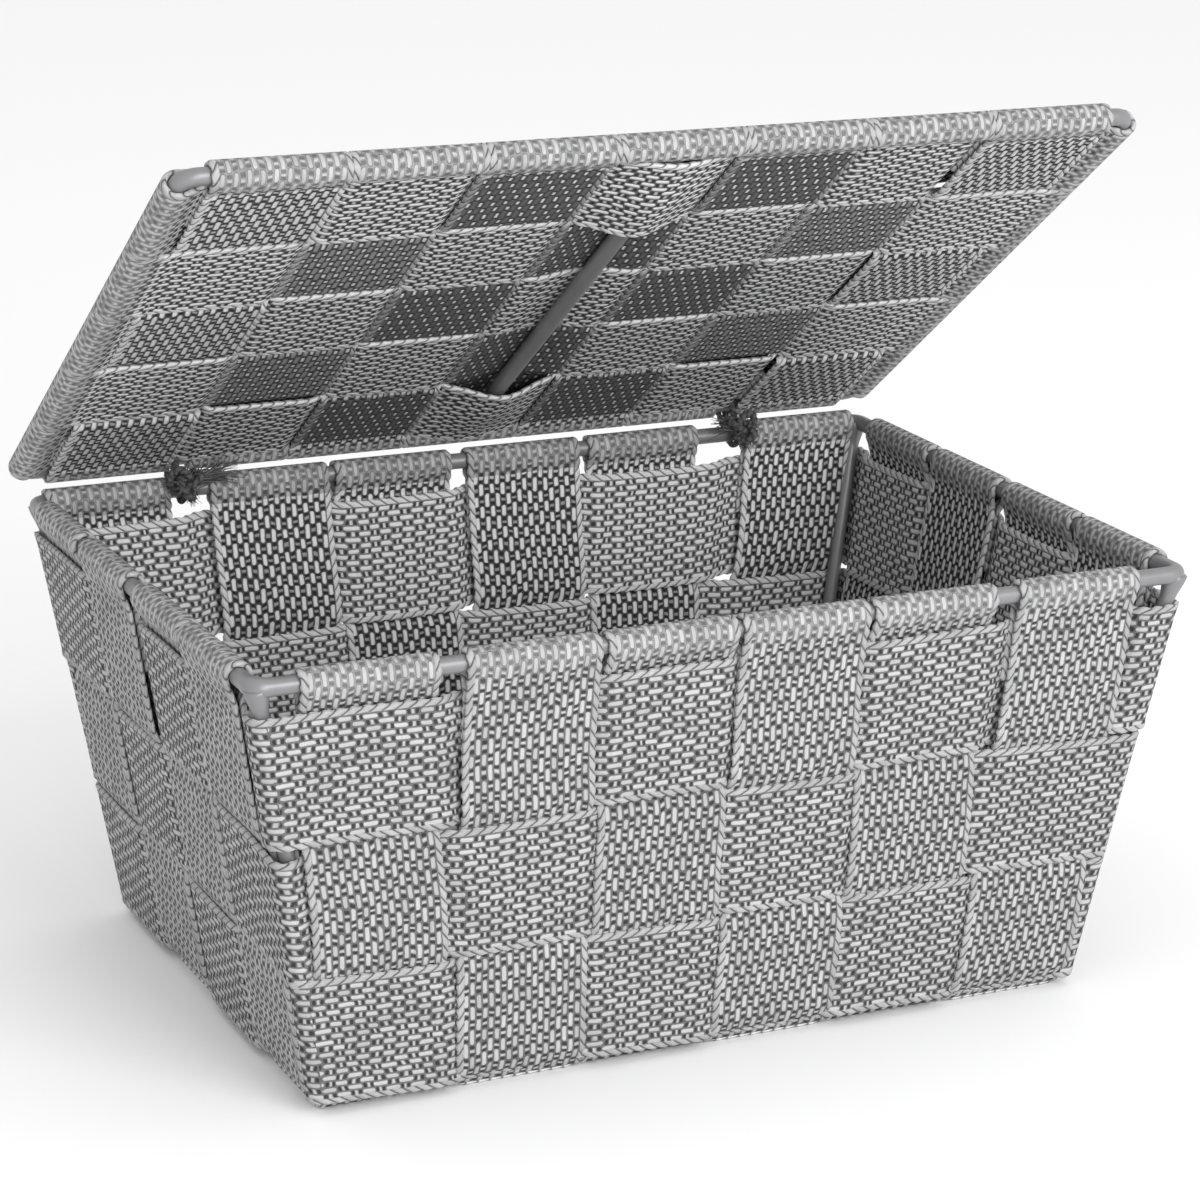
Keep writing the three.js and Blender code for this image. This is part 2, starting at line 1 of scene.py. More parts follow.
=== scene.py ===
"""Storage box of woven webbing on a wire frame, its lid tied to the back rim with cord and part open."""
import json

import bpy
import numpy as np
from mathutils import Matrix, Vector


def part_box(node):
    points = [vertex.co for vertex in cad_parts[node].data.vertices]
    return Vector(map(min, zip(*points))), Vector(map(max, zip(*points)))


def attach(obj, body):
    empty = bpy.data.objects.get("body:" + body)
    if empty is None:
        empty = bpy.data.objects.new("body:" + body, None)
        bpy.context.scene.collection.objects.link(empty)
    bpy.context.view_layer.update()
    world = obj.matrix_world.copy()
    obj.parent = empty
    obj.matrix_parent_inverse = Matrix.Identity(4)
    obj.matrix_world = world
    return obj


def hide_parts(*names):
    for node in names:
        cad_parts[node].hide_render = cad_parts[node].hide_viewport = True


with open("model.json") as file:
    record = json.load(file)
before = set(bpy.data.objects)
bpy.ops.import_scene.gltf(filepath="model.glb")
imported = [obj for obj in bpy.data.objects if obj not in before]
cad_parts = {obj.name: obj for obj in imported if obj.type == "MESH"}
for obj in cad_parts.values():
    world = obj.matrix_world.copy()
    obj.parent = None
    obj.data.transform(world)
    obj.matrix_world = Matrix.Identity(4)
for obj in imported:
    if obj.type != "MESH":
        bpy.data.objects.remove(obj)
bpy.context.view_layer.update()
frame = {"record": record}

# Sizes in millimetres, with the places of the wires and the hinge read from the frame
MM = 0.001
UP = np.array([0.0, 0.0, 1.0])
RIGHT = np.array([1.0, 0.0, 0.0])
BACK = np.array([0.0, 1.0, 0.0])
TOUCH_GAP = 0.3
WIRE_RADIUS = 2.5
WIRE_STEP = 1.2
WIRE_SIDES = 20
WIRE_BEND_STEPS = 12
UPRIGHT_RADIUS = 2.2
UPRIGHT_STEPS = 120
UPRIGHT_FLARE = 1.3
UPRIGHT_FLARE_REACH = 8.0
RIM_WELD = 0.5
RIM_WELD_REACH = 2.6
rim_low, rim_high = (np.array(corner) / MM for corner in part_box("rim_wire"))
base_low, base_high = (np.array(corner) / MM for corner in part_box("base_wire"))
hinge = frame["record"]["behaviour"]["joints"][0]
RIM_HALF = (rim_high - rim_low)[:2] / 2 - WIRE_RADIUS
RIM_HEIGHT = (rim_high + rim_low)[2] / 2
BOX_MIDDLE = np.array([0.0, (rim_high + rim_low)[1] / 2, 0.0])
BASE_WIRE_HALF = (base_high - base_low)[:2] / 2 - WIRE_RADIUS
BASE_WIRE_HEIGHT = (base_high + base_low)[2] / 2
HINGE_PLACE = np.array(hinge["pos_m"]) / MM
LID_OPEN = np.radians(-hinge["range_deg"][0])
RIM_CORNER = 3.5
BASE_CORNER = 6.0
LID_CORNER = 5.0
LID_HALF = np.array([142.5, 97.4])
LID_OVERLAP = 0.9
LID_LIFT = 10.9

# Webbing
WEB_WIDTH = 38.8
WEB_HALF = WEB_WIDTH / 2
WEB_THICK = 1.6
WEB_EDGE = 0.9
WEB_COLUMNS = 22
EDGE_STEPS = 3
WEB_STEP = 0.93
FINE_STEP = 0.25
GAUSS_ROOM = 4
SCALLOP = 0.22
SCALLOP_PERIOD = 3.7
SCALLOP_FROM = 0.93
EDGE_FLARE = 0.2
FLARE_WIDTH = 4.0
WANDER = 0.7
WANDER_LENGTH = 95.0
WANDER_TURNS = (1.0, 1.7, 3.1)
WANDER_RISE = 20.0
SEED_STEP = 10

# Weave of the box
BASE_HALF = np.array([118.5, 82.0])
CROSSING = 1.05
BASE_MIDDLE = WEB_THICK / 2 + CROSSING
BOX_SOFTENING = 1.1
RIM_LAYER = 1.7
ROW_MIDDLES = np.array([101.0, 61.6, 22.4])
RAMP = 3.2
WRAP_RADIUS = 3.5
TUCK = 26.0
FOLD_STEPS = 24
FAN_POWER = 0.8
BAND_BEND = 3.2
BAND_BEND_STEPS = 8
BAND_WAVE = 0.5
CORNER_RAMP = 3.5
BAND_DIPS = (0.0, 3.4, 0.0)
BAND_DIP_REACH = 16.0
ALONG_BASE = np.array([-97.2, -58.3, -19.4, 19.4, 58.3, 97.2])
ALONG_FRONT = np.array([-109.0, -62.6, -22.0, 18.0, 58.6, 104.6])
ALONG_BACK = np.array([-117.6, -66.2, -26.0, 19.1, 61.4, 117.6])
ACROSS_BASE = np.array([-60.0, -20.0, 20.0, 60.0])
ACROSS_LEFT = np.array([-66.0, -26.5, 22.4, 65.6])
ACROSS_RIGHT = np.array([-65.0, -22.5, 21.5, 64.5])

# Weave of the lid
LID_PITCH = np.array([38.55, 37.6])
LID_RAMP = 3.0
LID_SOFTENING = 1.0
LID_WANDER = WANDER / 8
LID_SEED = 40
FOLD_ROOM = 1.2
BAR_RIDGE = 2.0
BAR_LEVEL = BAR_RIDGE - (CROSSING + WEB_THICK / 2 + TOUCH_GAP + WIRE_RADIUS)
BAR_END_GAP = 4.6
BAR_STEPS = 90
BAR_PRESS = 24.0
BAR_FLAT = 0.4
BAR_RISE = 0.8
ARCH_HALF = 18.0
ARCH_INNER = 4.9
ARCH_OUTER = 2.4
ARCH_DEEPENS = (-1.0, 0.4)
NOTCH_LENGTH = 16.0
NOTCH_DEPTH = 6.5
NOTCH_FROM = -0.2
LID_ALONG = (np.arange(7) - 3) * LID_PITCH[0]
LID_ACROSS = (np.arange(5) - 2) * LID_PITCH[1] + LID_OVERLAP - LID_HALF[1]

# Painted shade of the webbing's faces: 0 outside, up to 1 on the darkest inside, below 0 for painted light
# on the pale folds and side-wall straps
BOX_INSIDE_SHADE = 0.6
BOX_HEART = 70.0
BOX_FACING = (0.25, 0.75)
BAND_INSIDE_SHADE = 0.12
SIDE_STRAP_LIGHT = 0.45
FOLD_LIGHT = 0.9
FOLD_REACH = 8.0
LID_LONG_INSIDE_SHADE = (1.0, 1.0, 0.9, 0.76)
LID_SIDE_INSIDE_SHADE = 0.4
LID_FACING = (0.8, 0.99)

# Stitches of the webbing: the two periods in millimetres, the rest in shares of them or of a full tone
STITCH_PERIOD = 7.4
YARN_ROW = 1.85
FLOAT_HALF = 0.265
FLOAT_SPREAD = 0.05
FLOAT_END = 0.09
FLOAT_WIDTH = 0.78
FLOAT_SOFT = 0.25
FLOAT_INSIDE_SHADE = 0.86
YARN_ROUND = 0.9
ROUGH_EDGE = 0.5
DOT_HALF = 0.065
DOT_GROWTH = 0.06
DOT_NARROWING = 0.35
DOT_SOFT = 0.03
DOT_SIDE = (1.05, 0.6)
DOT_HEIGHT = 0.7
DOT_LIT = 0.95
DOT_INSIDE_SHADE = 0.55
HOLE_PLACE = 0.145
HOLE_HALF = 0.055
HOLE_SOFT = 0.025
HOLE_SIDE = (1.0, 0.55)
# Painted shade in the holes and on the ground between the floats, with more of it on inside faces
HOLE_SHADE = 0.88
GROUND = 0.27
GROUND_INSIDE_SHADE = 0.7 * GROUND
GROUND_HEIGHT = 0.3
# Painted light on the folds: paler ground and holes
FOLD_GROUND_LIGHT = 0.33
FOLD_HOLE_LIGHT = 0.4
FOLD_LIGHT_RANGE = (0.0, -1.0)
TICKED_SHADE_RANGE = (0.0, 0.6)
DOTTED_SHADE_RANGE = (0.65, 1.0)
DRIFT_SCALE = 0.13
ROW_DRIFT = 0.5
PERIOD_DRIFT = 0.4
FIBRE_SCALES = (0.8, 3.5)
FIBRE_HEIGHT = 0.25
FIBRE_TONE = 0.5

# Braid along the edges of the webbing
BRAID_WIDTH = (2.2, 1.7)
BRAID_SLANT = 1.3
BRAID_HEIGHT = 0.95
BRAID_CROWN = (0.3, 0.8)
BRAID_LIT = (0.25, 0.85)
BRAID_INSIDE_SHADE = 0.6
STRAND_ROUND = 1.96

# Cord ties
CORD_RADIUS = 1.05
CORD_SIDES = 18
CORD_STRANDS = 2
CORD_LAY = 4.2
GROOVE_DEPTH = 0.32
TIE_X = 94.59
TIE_TURNS = 1.5
TIE_PITCH = 2.25
TIE_STEPS = 300
TIE_CORD = 0.9
TIE_RADIUS = WIRE_RADIUS + TOUCH_GAP + TIE_CORD
KNOT_CORD_RADIUS = 1.35
KNOT_STEPS = 220
KNOT_LOOP = 1.7
KNOT_LIFT = 1.9
KNOT_DROP = 0.9
FIBRE_STEPS = 6
FIBRE_SIDES = 4
FIBRE_RADIUS = 0.2
FIBRE_TAPER = 0.6
FIBRE_BEND = 0.18
FIBRE_LIGHT = (0.2, 2.2)
FUZZ_COUNT = 160
FUZZ_SPREAD = 0.6
FUZZ_LENGTH = (1.2, 2.6)
FUZZ_SEED = 60
TAIL_LIFT = 0.8
TAIL_BUNDLE = (0.6, 0.5, 1.1)
TAIL_SLOPE = (0.12, 0.2)
TAIL_SPREAD = 0.13
TAIL_LENGTH = (0.7, 1.1)
TAIL_SEED = 70
BEND_SEED = 80
# Each tail's hand and sign, its count of fibres, their reach and the seed of their bends
TAILS = (("left", -1, 90, 12.0, 90), ("right", 1, 40, 6.0, 91))


def stretch_of(points, closed=False):
    """Running length along a line of points, with the way back to the first point if it is closed."""
    line = np.vstack([points, points[:1]]) if closed else points
    return np.concatenate([[0.0], np.cumsum(np.linalg.norm(np.diff(line, axis=0), axis=1))])


def softened(points, plane, reach, closed=False):
    """A line of points made even along its length and smoothed with a Gaussian of the given reach.

    The first `plane` columns are places and give the length; the others are carried along with them.
    Returns the points spaced by about WEB_STEP and the running length at each of them.
    """
    line = np.vstack([points, points[:1]]) if closed else points
    length = stretch_of(line[:, :plane])
    even = np.arange(0.0, length[-1], FINE_STEP)
    dense = np.column_stack([np.interp(even, length, column) for column in line.T])
    room = int(GAUSS_ROOM * reach / FINE_STEP)
    weights = np.exp(-0.5 * (np.arange(-room, room + 1) * FINE_STEP / reach) ** 2)
    weights /= weights.sum()
    if closed:
        padded = np.pad(dense, ((room, room), (0, 0)), mode="wrap")
    else:
        padded = np.pad(dense, ((room, room), (0, 0)), mode="reflect", reflect_type="odd")
    smooth = np.column_stack([np.convolve(column, weights, mode="valid") for column in padded.T])
    if closed:
        smooth = np.vstack([smooth, smooth[:1]])
    length = stretch_of(smooth[:, :plane])
    count = int(length[-1] / WEB_STEP)
    places = np.linspace(0.0, length[-1], count + 1)
    spread = np.column_stack([np.interp(places, length, column) for column in smooth.T])
    return (spread[:-1] if closed else spread), places


def unit(vectors):
    """Vectors divided by their lengths."""
    return vectors / np.linalg.norm(vectors, axis=-1, keepdims=True)


def headings(points, closed=False):
    """Direction of a line at each point, from the point before to the point after."""
    if closed:
        return unit(np.roll(points, -1, axis=0) - np.roll(points, 1, axis=0))
    return unit(np.gradient(points, axis=0))


def smoothstep(low, high, values):
    """Rises from 0 at low to 1 at high with level ends."""
    share = np.clip((values - low) / (high - low), 0.0, 1.0)
    return share * share * (3 - 2 * share)


def wander(lengths, seed, strength=WANDER):
    """Slow waves of a hand-woven strap: three sines of seeded phase over the running length."""
    phases = np.random.default_rng(seed).uniform(0, 2 * np.pi, len(WANDER_TURNS))
    waves = [np.sin(2 * np.pi * lengths * turn / WANDER_LENGTH + phase) / turn
             for turn, phase in zip(WANDER_TURNS, phases)]
    return strength * np.sum(waves, axis=0) / 2


def web_profile():
    """Section of the webbing as a closed loop: share across (-1 to 1), height from the middle and side.

    The two faces are flat and the edges are half ellipses. The outer face runs first, from edge to edge.
    """
    flat = WEB_HALF - WEB_EDGE
    bend = np.linspace(0.0, np.pi / 2, EDGE_STEPS + 1)[:-1]
    rising = np.column_stack([-flat - WEB_EDGE * np.cos(bend), np.sin(bend)])
    level = np.column_stack([np.linspace(-flat, flat, WEB_COLUMNS), np.ones(WEB_COLUMNS)])
    half = np.vstack([rising, level, (rising * [-1, 1])[::-1][:-1]])
    whole = np.vstack([half, -half])
    side = np.where(np.arange(len(whole)) < len(half), 1.0, -1.0)
    return whole[:, 0] / WEB_HALF, whole[:, 1] * WEB_THICK / 2, side


SHARE, RISE, SIDE = web_profile()


def new_object(name, corners, faces_of, uv=None, inside=None):
    """Smooth mesh object from corner places in millimetres and a list of equal-sided face arrays."""
    mesh = bpy.data.meshes.new(name)
    mesh.vertices.add(len(corners))
    mesh.vertices.foreach_set("co", (corners * MM).astype(np.float32).ravel())
    loops = np.concatenate([faces.ravel() for faces in faces_of])
    sizes = np.concatenate([np.full(len(faces), faces.shape[1]) for faces in faces_of])
    starts = np.concatenate([[0], np.cumsum(sizes)[:-1]])
    mesh.loops.add(len(loops))
    mesh.loops.foreach_set("vertex_index", loops.astype(np.int32))
    mesh.polygons.add(len(sizes))
    mesh.polygons.foreach_set("loop_start", starts.astype(np.int32))
    mesh.update(calc_edges=True)
    mesh.polygons.foreach_set("use_smooth", np.ones(len(sizes), dtype=bool))
    if uv is not None:
        layer = mesh.uv_layers.new(name="web")
        layer.data.foreach_set("uv", uv.astype(np.float32).ravel())
    if inside is not None:
        layer = mesh.attributes.new("inside", "FLOAT", "POINT")
        layer.data.foreach_set("value", inside.astype(np.float32).ravel())
    made = bpy.data.objects.new(name, mesh)
    bpy.context.collection.objects.link(made)
    return made


def skin(name, grid, closed, lengths, across, inside=None):
    """Skin over rings of points: quads between neighbouring rings, and a flat face on each open end.

    The length along the run and the place across it go into the UV map in metres.
    """
    rings, around = grid.shape[:2]
    spans = rings if closed else rings - 1
    ring = np.arange(spans)[:, None]
    spot = np.arange(around)[None, :]
    after = (ring + 1) % rings
    beside = (spot + 1) % around
    corners = [(ring, spot), (after, spot), (after, beside), (ring, beside)]
    quads = np.stack([at_ring * around + at_spot for at_ring, at_spot in corners], axis=-1).reshape(-1, 4)
    low = np.broadcast_to(lengths[:spans, None], (spans, around))
    high = np.broadcast_to(lengths[1:spans + 1, None], (spans, around))
    near = np.broadcast_to(across[None, :], (spans, around))
    far = np.broadcast_to(np.roll(across, -1)[None, :], (spans, around))
    uv = np.stack([low, near, high, near, high, far, low, far], axis=-1).reshape(-1, 2)
    faces = [quads]
    if not closed:
        start = np.arange(around)
        faces += [start[None, :], (start[::-1] + (rings - 1) * around)[None, :]]
        for end in (0, -1):
            order = start if end == 0 else start[::-1]
            uv = np.vstack([uv, np.column_stack([np.full(around, lengths[end]), across[order]])])
    return new_object(name, grid.reshape(-1, 3), faces, uv * MM, inside)


def in_box(grid):
    """Box places moved to the frame, whose origin is under the middle of the whole part."""
    return grid + BOX_MIDDLE


def to_lid(points):
    """Points of the closed lid, counted from the hinge line, turned open and put in place."""
    cosine, sine = np.cos(LID_OPEN), np.sin(LID_OPEN)
    turned = points.copy()
    turned[..., 1] = points[..., 1] * cosine + points[..., 2] * sine
    turned[..., 2] = points[..., 2] * cosine - points[..., 1] * sine
    return turned + HINGE_PLACE


def web_reach(lengths):
    """Place across the web of each point of its section, with sine scallops at the edges."""
    scallop = SCALLOP * np.sin(2 * np.pi * lengths[:, None] / SCALLOP_PERIOD)
    return SHARE * WEB_HALF + np.sign(SHARE) * scallop * smoothstep(SCALLOP_FROM, 1.0, np.abs(SHARE))


def web_rise(lift):
    """Height of each point of the section. The edges stand off by a further share of the weave's step."""
    flare = EDGE_FLARE * smoothstep(1 - FLARE_WIDTH / WEB_HALF, 1.0, np.abs(SHARE))
    return RISE + flare * lift[:, None]


def web_skin(name, centre, across, normal, lift, lengths, inside, place, droop=0.0, notch=0.0):
    """Webbing along a centre line: the section of web_profile laid on the across and normal directions.

    lift is the signed step of the weave, droop moves points along the normal and notch across.
    """
    reach = web_reach(lengths) + notch
    rise = web_rise(lift) + droop
    grid = centre[:, None, :] + reach[..., None] * across[:, None, :] + rise[..., None] * normal[:, None, :]
    return skin(name, place(grid), False, lengths, (SHARE + 1) * WEB_HALF, inside)


def fold_round(distance, main, tuck):
    """Web end folded round a wire: in along the tuck, round the wire, out on the main side.

    Places are distances from the wire into the weave and levels across it. The straight parts touch the
    circle of the wrap radius.
    """
    side = np.sign(main)

    def touch(level, hand):
        return np.arctan2(level, distance) + hand * np.arccos(WRAP_RADIUS / np.hypot(distance, level))

    angle = np.linspace(touch(tuck, -side), touch(main, side) - side * 2 * np.pi, FOLD_STEPS)
    wrap = WRAP_RADIUS * np.column_stack([np.cos(angle), np.sin(angle)])
    line = np.vstack([[[TUCK, tuck], [distance, tuck]], wrap, [[distance, main]]])
    lift = np.zeros((len(line), 1))
    lift[-1] = main
    return np.hstack([line, lift])


def rise_share(height):
    """Share of the wall's rise at a height."""
    return np.clip((height - BASE_MIDDLE) / (RIM_HEIGHT - BASE_MIDDLE), 0.0, 1.0)


def wall_half(axis, height):
    """Half size of the box at a height, to the middle of its wall."""
    return BASE_HALF[axis] + (RIM_HALF[axis] - BASE_HALF[axis]) * rise_share(height)


def outside_at(index, end, row):
    """A strap is outside at a row where its number, the end and the row add to an odd count."""
    return (index + end + row) % 2 == 1


def row_level(outside, row):
    """Step of a strap or band out of the middle of the wall; the first row holds a tucked end as well."""
    return np.where(outside, 1, -1) * (RIM_LAYER if row == 0 else CROSSING)


def wall_line(axis, sign, outside):
    """Strap on one wall in its upright plane, from the tucked end over the rim down to the base corner."""
    tilt = np.arctan2(RIM_HALF[axis] - BASE_HALF[axis], RIM_HEIGHT - BASE_MIDDLE)
    sine, cosine = np.sin(tilt), np.cos(tilt)
    between = (ROW_MIDDLES[:-1] + ROW_MIDDLES[1:]) / 2
    levels = [row_level(flag, row) for row, flag in enumerate(outside)]
    first_top = ROW_MIDDLES[0] + WEB_HALF * cosine
    rows = [fold_round((RIM_HEIGHT - first_top) / cosine - RAMP / 3, levels[0], 0.0)]
    for row, height in enumerate(between):
        drop = (RIM_HEIGHT - height) / cosine
        rows.append([[drop - RAMP, levels[row], levels[row]]])
        rows.append([[drop + RAMP, levels[row + 1], levels[row + 1]]])
    rows.append([[(RIM_HEIGHT - BASE_MIDDLE) / cosine - 2 * RAMP, levels[-1], levels[-1]]])
    drop, level, lift = np.vstack(rows).T
    along = sign * (RIM_HALF[axis] - drop * sine + level * cosine)
    return np.column_stack([along, RIM_HEIGHT - drop * cosine - level * sine, lift])


def box_strap_line(axis, outside, crossings, low):
    """Strap in its upright plane: down one wall, under the base past its crossings, up the other wall."""
    near = wall_line(axis, -1, outside[0])
    far = wall_line(axis, 1, outside[1])
    heights = np.where(low, WEB_THICK / 2, WEB_THICK / 2 + 2 * CROSSING)
    lifts = np.where(low, CROSSING, -CROSSING)
    edges = (crossings[:-1] + crossings[1:]) / 2
    places = np.column_stack([edges - RAMP, edges + RAMP]).ravel()
    reach = BASE_HALF[axis] - RAMP
    places = np.concatenate([[2 * RAMP - reach], places, [reach - 2 * RAMP]])
    base = np.column_stack([places, np.repeat(heights, 2), np.repeat(lifts, 2)])
    corner = np.array([reach, WEB_THICK / 2, CROSSING])
    return np.vstack([near, corner * [-1, 1, 1], base, corner, far[::-1]])


def box_strap(name, axis, index, ends):
    """Webbing strap of the box, with painted shade where a face looks into the box and painted light on its
    rim fold.
    """
    outside, crossings, low, base, near, far = ends
    line, lengths = softened(box_strap_line(axis, outside, crossings, low), 2, BOX_SOFTENING)
    flat, height, lift = line.T
    tangent = headings(line[:, :2])
    normal = np.column_stack([tangent[:, 1], -tangent[:, 0]])
    rim = np.where(flat < 0, near[index], far[index])
    centre = base[index] + (rim - base[index]) * rise_share(height) ** FAN_POWER
    centre = centre + wander(lengths, SEED_STEP * axis + index) * smoothstep(0.0, WANDER_RISE, height)
    # Painted shade on faces that look into the box; painted light on the outer faces of side straps and on
    # the rim fold
    inward = unit(np.column_stack([-flat, BOX_HEART - height]))
    facing = np.sum(normal * inward, axis=1)[:, None] * SIDE
    inside = BOX_INSIDE_SHADE * smoothstep(*BOX_FACING, facing)
    if axis == 0:
        inside = inside - SIDE_STRAP_LIGHT * smoothstep(*BOX_FACING, -facing)
    at_fold = smoothstep(RIM_HEIGHT - FOLD_REACH, RIM_HEIGHT, height)[:, None]
    inside = inside * (1 - at_fold) - FOLD_LIGHT * at_fold
    run, side = (BACK, RIGHT) if axis == 1 else (RIGHT, -BACK)
    middle = flat[:, None] * run + height[:, None] * UP
    middle = middle + (centre if axis == 1 else -centre)[:, None] * side
    facing_out = normal[:, :1] * run + normal[:, 1:] * UP
    sideways = np.broadcast_to(side, middle.shape)
    strap = web_skin(name, middle, sideways, facing_out, lift, lengths, inside, in_box)
    return finish_piece(strap, "box", "webbing", webbing)


def band_wall(places, outside, row, reach):
    """One wall of a band in plan: places along it and levels, opposite to those of its straps."""
    corner = row_level(True, row)
    levels = row_level(~np.array(outside), row)
    edges = (places[:-1] + places[1:]) / 2
    spots = np.column_stack([edges - RAMP, edges + RAMP]).ravel()
    first = max(places[0] - WEB_HALF, CORNER_RAMP - reach)
    last = min(places[-1] + WEB_HALF, reach - CORNER_RAMP)
    spots = np.concatenate([[-reach, first - CORNER_RAMP, first], spots, [last, last + CORNER_RAMP, reach]])
    steps = np.concatenate([[corner, corner], np.repeat(levels, 2), [corner, corner]])
    return np.column_stack([np.maximum.accumulate(spots), steps])


def band_line(row):
    """Band in plan at the middle of its row, anticlockwise from the front left corner, with its levels."""
    height = ROW_MIDDLES[row]
    half = np.array([wall_half(0, height), wall_half(1, height)])
    corner_level = row_level(True, row)
    reach = half + corner_level - BAND_BEND
    share = rise_share(height) ** FAN_POWER

    def wall(base, rim, end, flip, axis):
        places = base + (rim - base) * share
        numbers = np.arange(1, len(base) + 1)
        outside = outside_at(numbers, end, row) ^ flip
        return band_wall(places, outside, row, reach[axis])

    front = wall(ALONG_BASE, ALONG_FRONT, 1, False, 0)
    back = wall(ALONG_BASE, ALONG_BACK, 0, False, 0)[::-1]
    left = wall(ACROSS_BASE, ACROSS_LEFT, 1, True, 1)[::-1]
    right = wall(ACROSS_BASE, ACROSS_RIGHT, 0, True, 1)
    turn = np.linspace(0.0, np.pi / 2, BAND_BEND_STEPS)[1:-1]

    def corner(sign_x, sign_y, start):
        x = sign_x * reach[0] + BAND_BEND * np.cos(start + turn)
        y = sign_y * reach[1] + BAND_BEND * np.sin(start + turn)
        return np.column_stack([x, y, np.full(len(turn), corner_level)])

    return np.vstack([
        np.column_stack([front[:, 0], -half[1] - front[:, 1], front[:, 1]]),
        corner(1, -1, -np.pi / 2),
        np.column_stack([half[0] + right[:, 1], right[:, 0], right[:, 1]]),
        corner(1, 1, 0.0),
        np.column_stack([back[:, 0], half[1] + back[:, 1], back[:, 1]]),
        corner(-1, 1, np.pi / 2),
        np.column_stack([-half[0] - left[:, 1], left[:, 0], left[:, 1]]),
        corner(-1, -1, np.pi),
    ])


def band(name, row):
    """Ring of webbing round the walls: the plan of band_line, widened with height as the walls lean out.

    A sine carries it up and down along its length, and a Gaussian dip lies at the front left corner.
    """
    line, lengths = softened(band_line(row), 2, BOX_SOFTENING, closed=True)
    plan = line[:, :2]
    tangent = headings(plan, closed=True)
    normal = np.column_stack([tangent[:, 1], -tangent[:, 0]])
    lean = np.cos(np.arctan2(RIM_HALF[1] - BASE_HALF[1], RIM_HEIGHT - BASE_MIDDLE))
    turns = np.round(lengths[-1] / WANDER_LENGTH)
    wave = BAND_WAVE * np.sin(2 * np.pi * turns * lengths[:-1, None] / lengths[-1] + row)
    from_corner = np.minimum(lengths[:-1], lengths[-1] - lengths[:-1])[:, None]
    wave = wave - BAND_DIPS[row] * np.exp(-(from_corner / BAND_DIP_REACH) ** 2)
    middle = ROW_MIDDLES[row]
    height = middle + web_reach(lengths[:-1]) * lean + wave
    wide = wall_half(0, height) / wall_half(0, middle)
    deep = wall_half(1, height) / wall_half(1, middle)
    rise = web_rise(line[:, 2])
    x = plan[:, :1] * wide + rise * normal[:, :1]
    y = plan[:, 1:] * deep + rise * normal[:, 1:]
    grid = np.stack([x, y, height], axis=-1) + BOX_MIDDLE
    # Inner faces of the bands: paler yarn as painted light and a slightly darker ground as painted shade
    inside = np.broadcast_to(BAND_INSIDE_SHADE * (SIDE < 0), grid.shape[:2])
    whole_stitches = np.round(lengths[-1] / STITCH_PERIOD) * STITCH_PERIOD
    stitched = lengths * whole_stitches / lengths[-1]
    made = skin(name, grid, True, stitched, (SHARE + 1) * WEB_HALF, inside)
    return finish_piece(made, "box", "webbing", webbing)


def lid_layers(along, across):
    """Levels of the two straps at a crossing of the lid, above its middle, and of their tucked ends."""
    along_low = (along + across) % 2 == 0
    along_end = across in (0, len(LID_ACROSS) - 1)
    across_end = along in (0, len(LID_ALONG) - 1)
    count = 2 + along_end + across_end
    spacing = 2 * CROSSING if count == 2 else RIM_LAYER
    outer = (count - 1) / 2 * spacing
    low = (-outer, spacing - outer)
    high = (outer, outer - spacing)
    return (low, high) if along_low else (high, low)


def lid_strap_line(start, end, places, layers):
    """Lid strap in its upright plane: round the near wire, past each crossing and round the far wire."""
    levels = np.array([main for main, tuck in layers])
    distance = min(places[0] - start, end - places[-1]) - WEB_HALF + LID_RAMP
    distance = max(distance, WRAP_RADIUS + FOLD_ROOM)
    near = fold_round(distance, *layers[0])
    far = fold_round(distance, *layers[-1])
    edges = (places[:-1] + places[1:]) / 2
    runs = [near + [start, 0.0, 0.0]]
    for edge, level, beyond in zip(edges, levels[:-1], levels[1:]):
        runs.append([[edge - LID_RAMP, level, level], [edge + LID_RAMP, beyond, beyond]])
    runs.append((far * [-1, 1, 1] + [end, 0.0, 0.0])[::-1])
    line = np.vstack(runs)
    line[:, 2] *= -1
    return line


def bar_arch(places):
    """Cosine arch over the bar, by the place from side to side."""
    return np.cos(np.pi / 2 * np.clip(places / ARCH_HALF, -1.0, 1.0)) ** 2


def side_strap_droop(flat, index):
    """Side straps at the bar: the first and last drop under it, most at the inner edge, the rest go over."""
    if index not in (0, len(LID_ACROSS) - 1):
        return -BAR_RIDGE * bar_arch(flat)[:, None]
    inner = -1 if index == 0 else 1
    depth = ARCH_OUTER + (ARCH_INNER - ARCH_OUTER) * smoothstep(*ARCH_DEEPENS, SHARE * inner)
    return bar_arch(flat)[:, None] * depth[None, :]


def long_strap_droop(flat, index):
    """The strap along the bar lies over it with the same arch across its width, away from its folds."""
    from_fold = np.minimum(flat - LID_OVERLAP + 2 * LID_HALF[1], LID_OVERLAP - flat)
    over = smoothstep(BAR_PRESS / 2, BAR_PRESS, from_fold)
    return -BAR_RIDGE * over[:, None] * bar_arch(LID_ALONG[index] + SHARE * WEB_HALF)


def tie_notch(flat, index):
    """Pinch of the second and the last but one strap at their back ends, where the cord ties pass them."""
    hand = {1: -1, len(LID_ALONG) - 2: 1}.get(index, 0)
    near_tie = smoothstep(-NOTCH_LENGTH, -NOTCH_LENGTH / 2, flat)
    return -hand * NOTCH_DEPTH * near_tie[:, None] * smoothstep(NOTCH_FROM, 1.0, SHARE * hand)


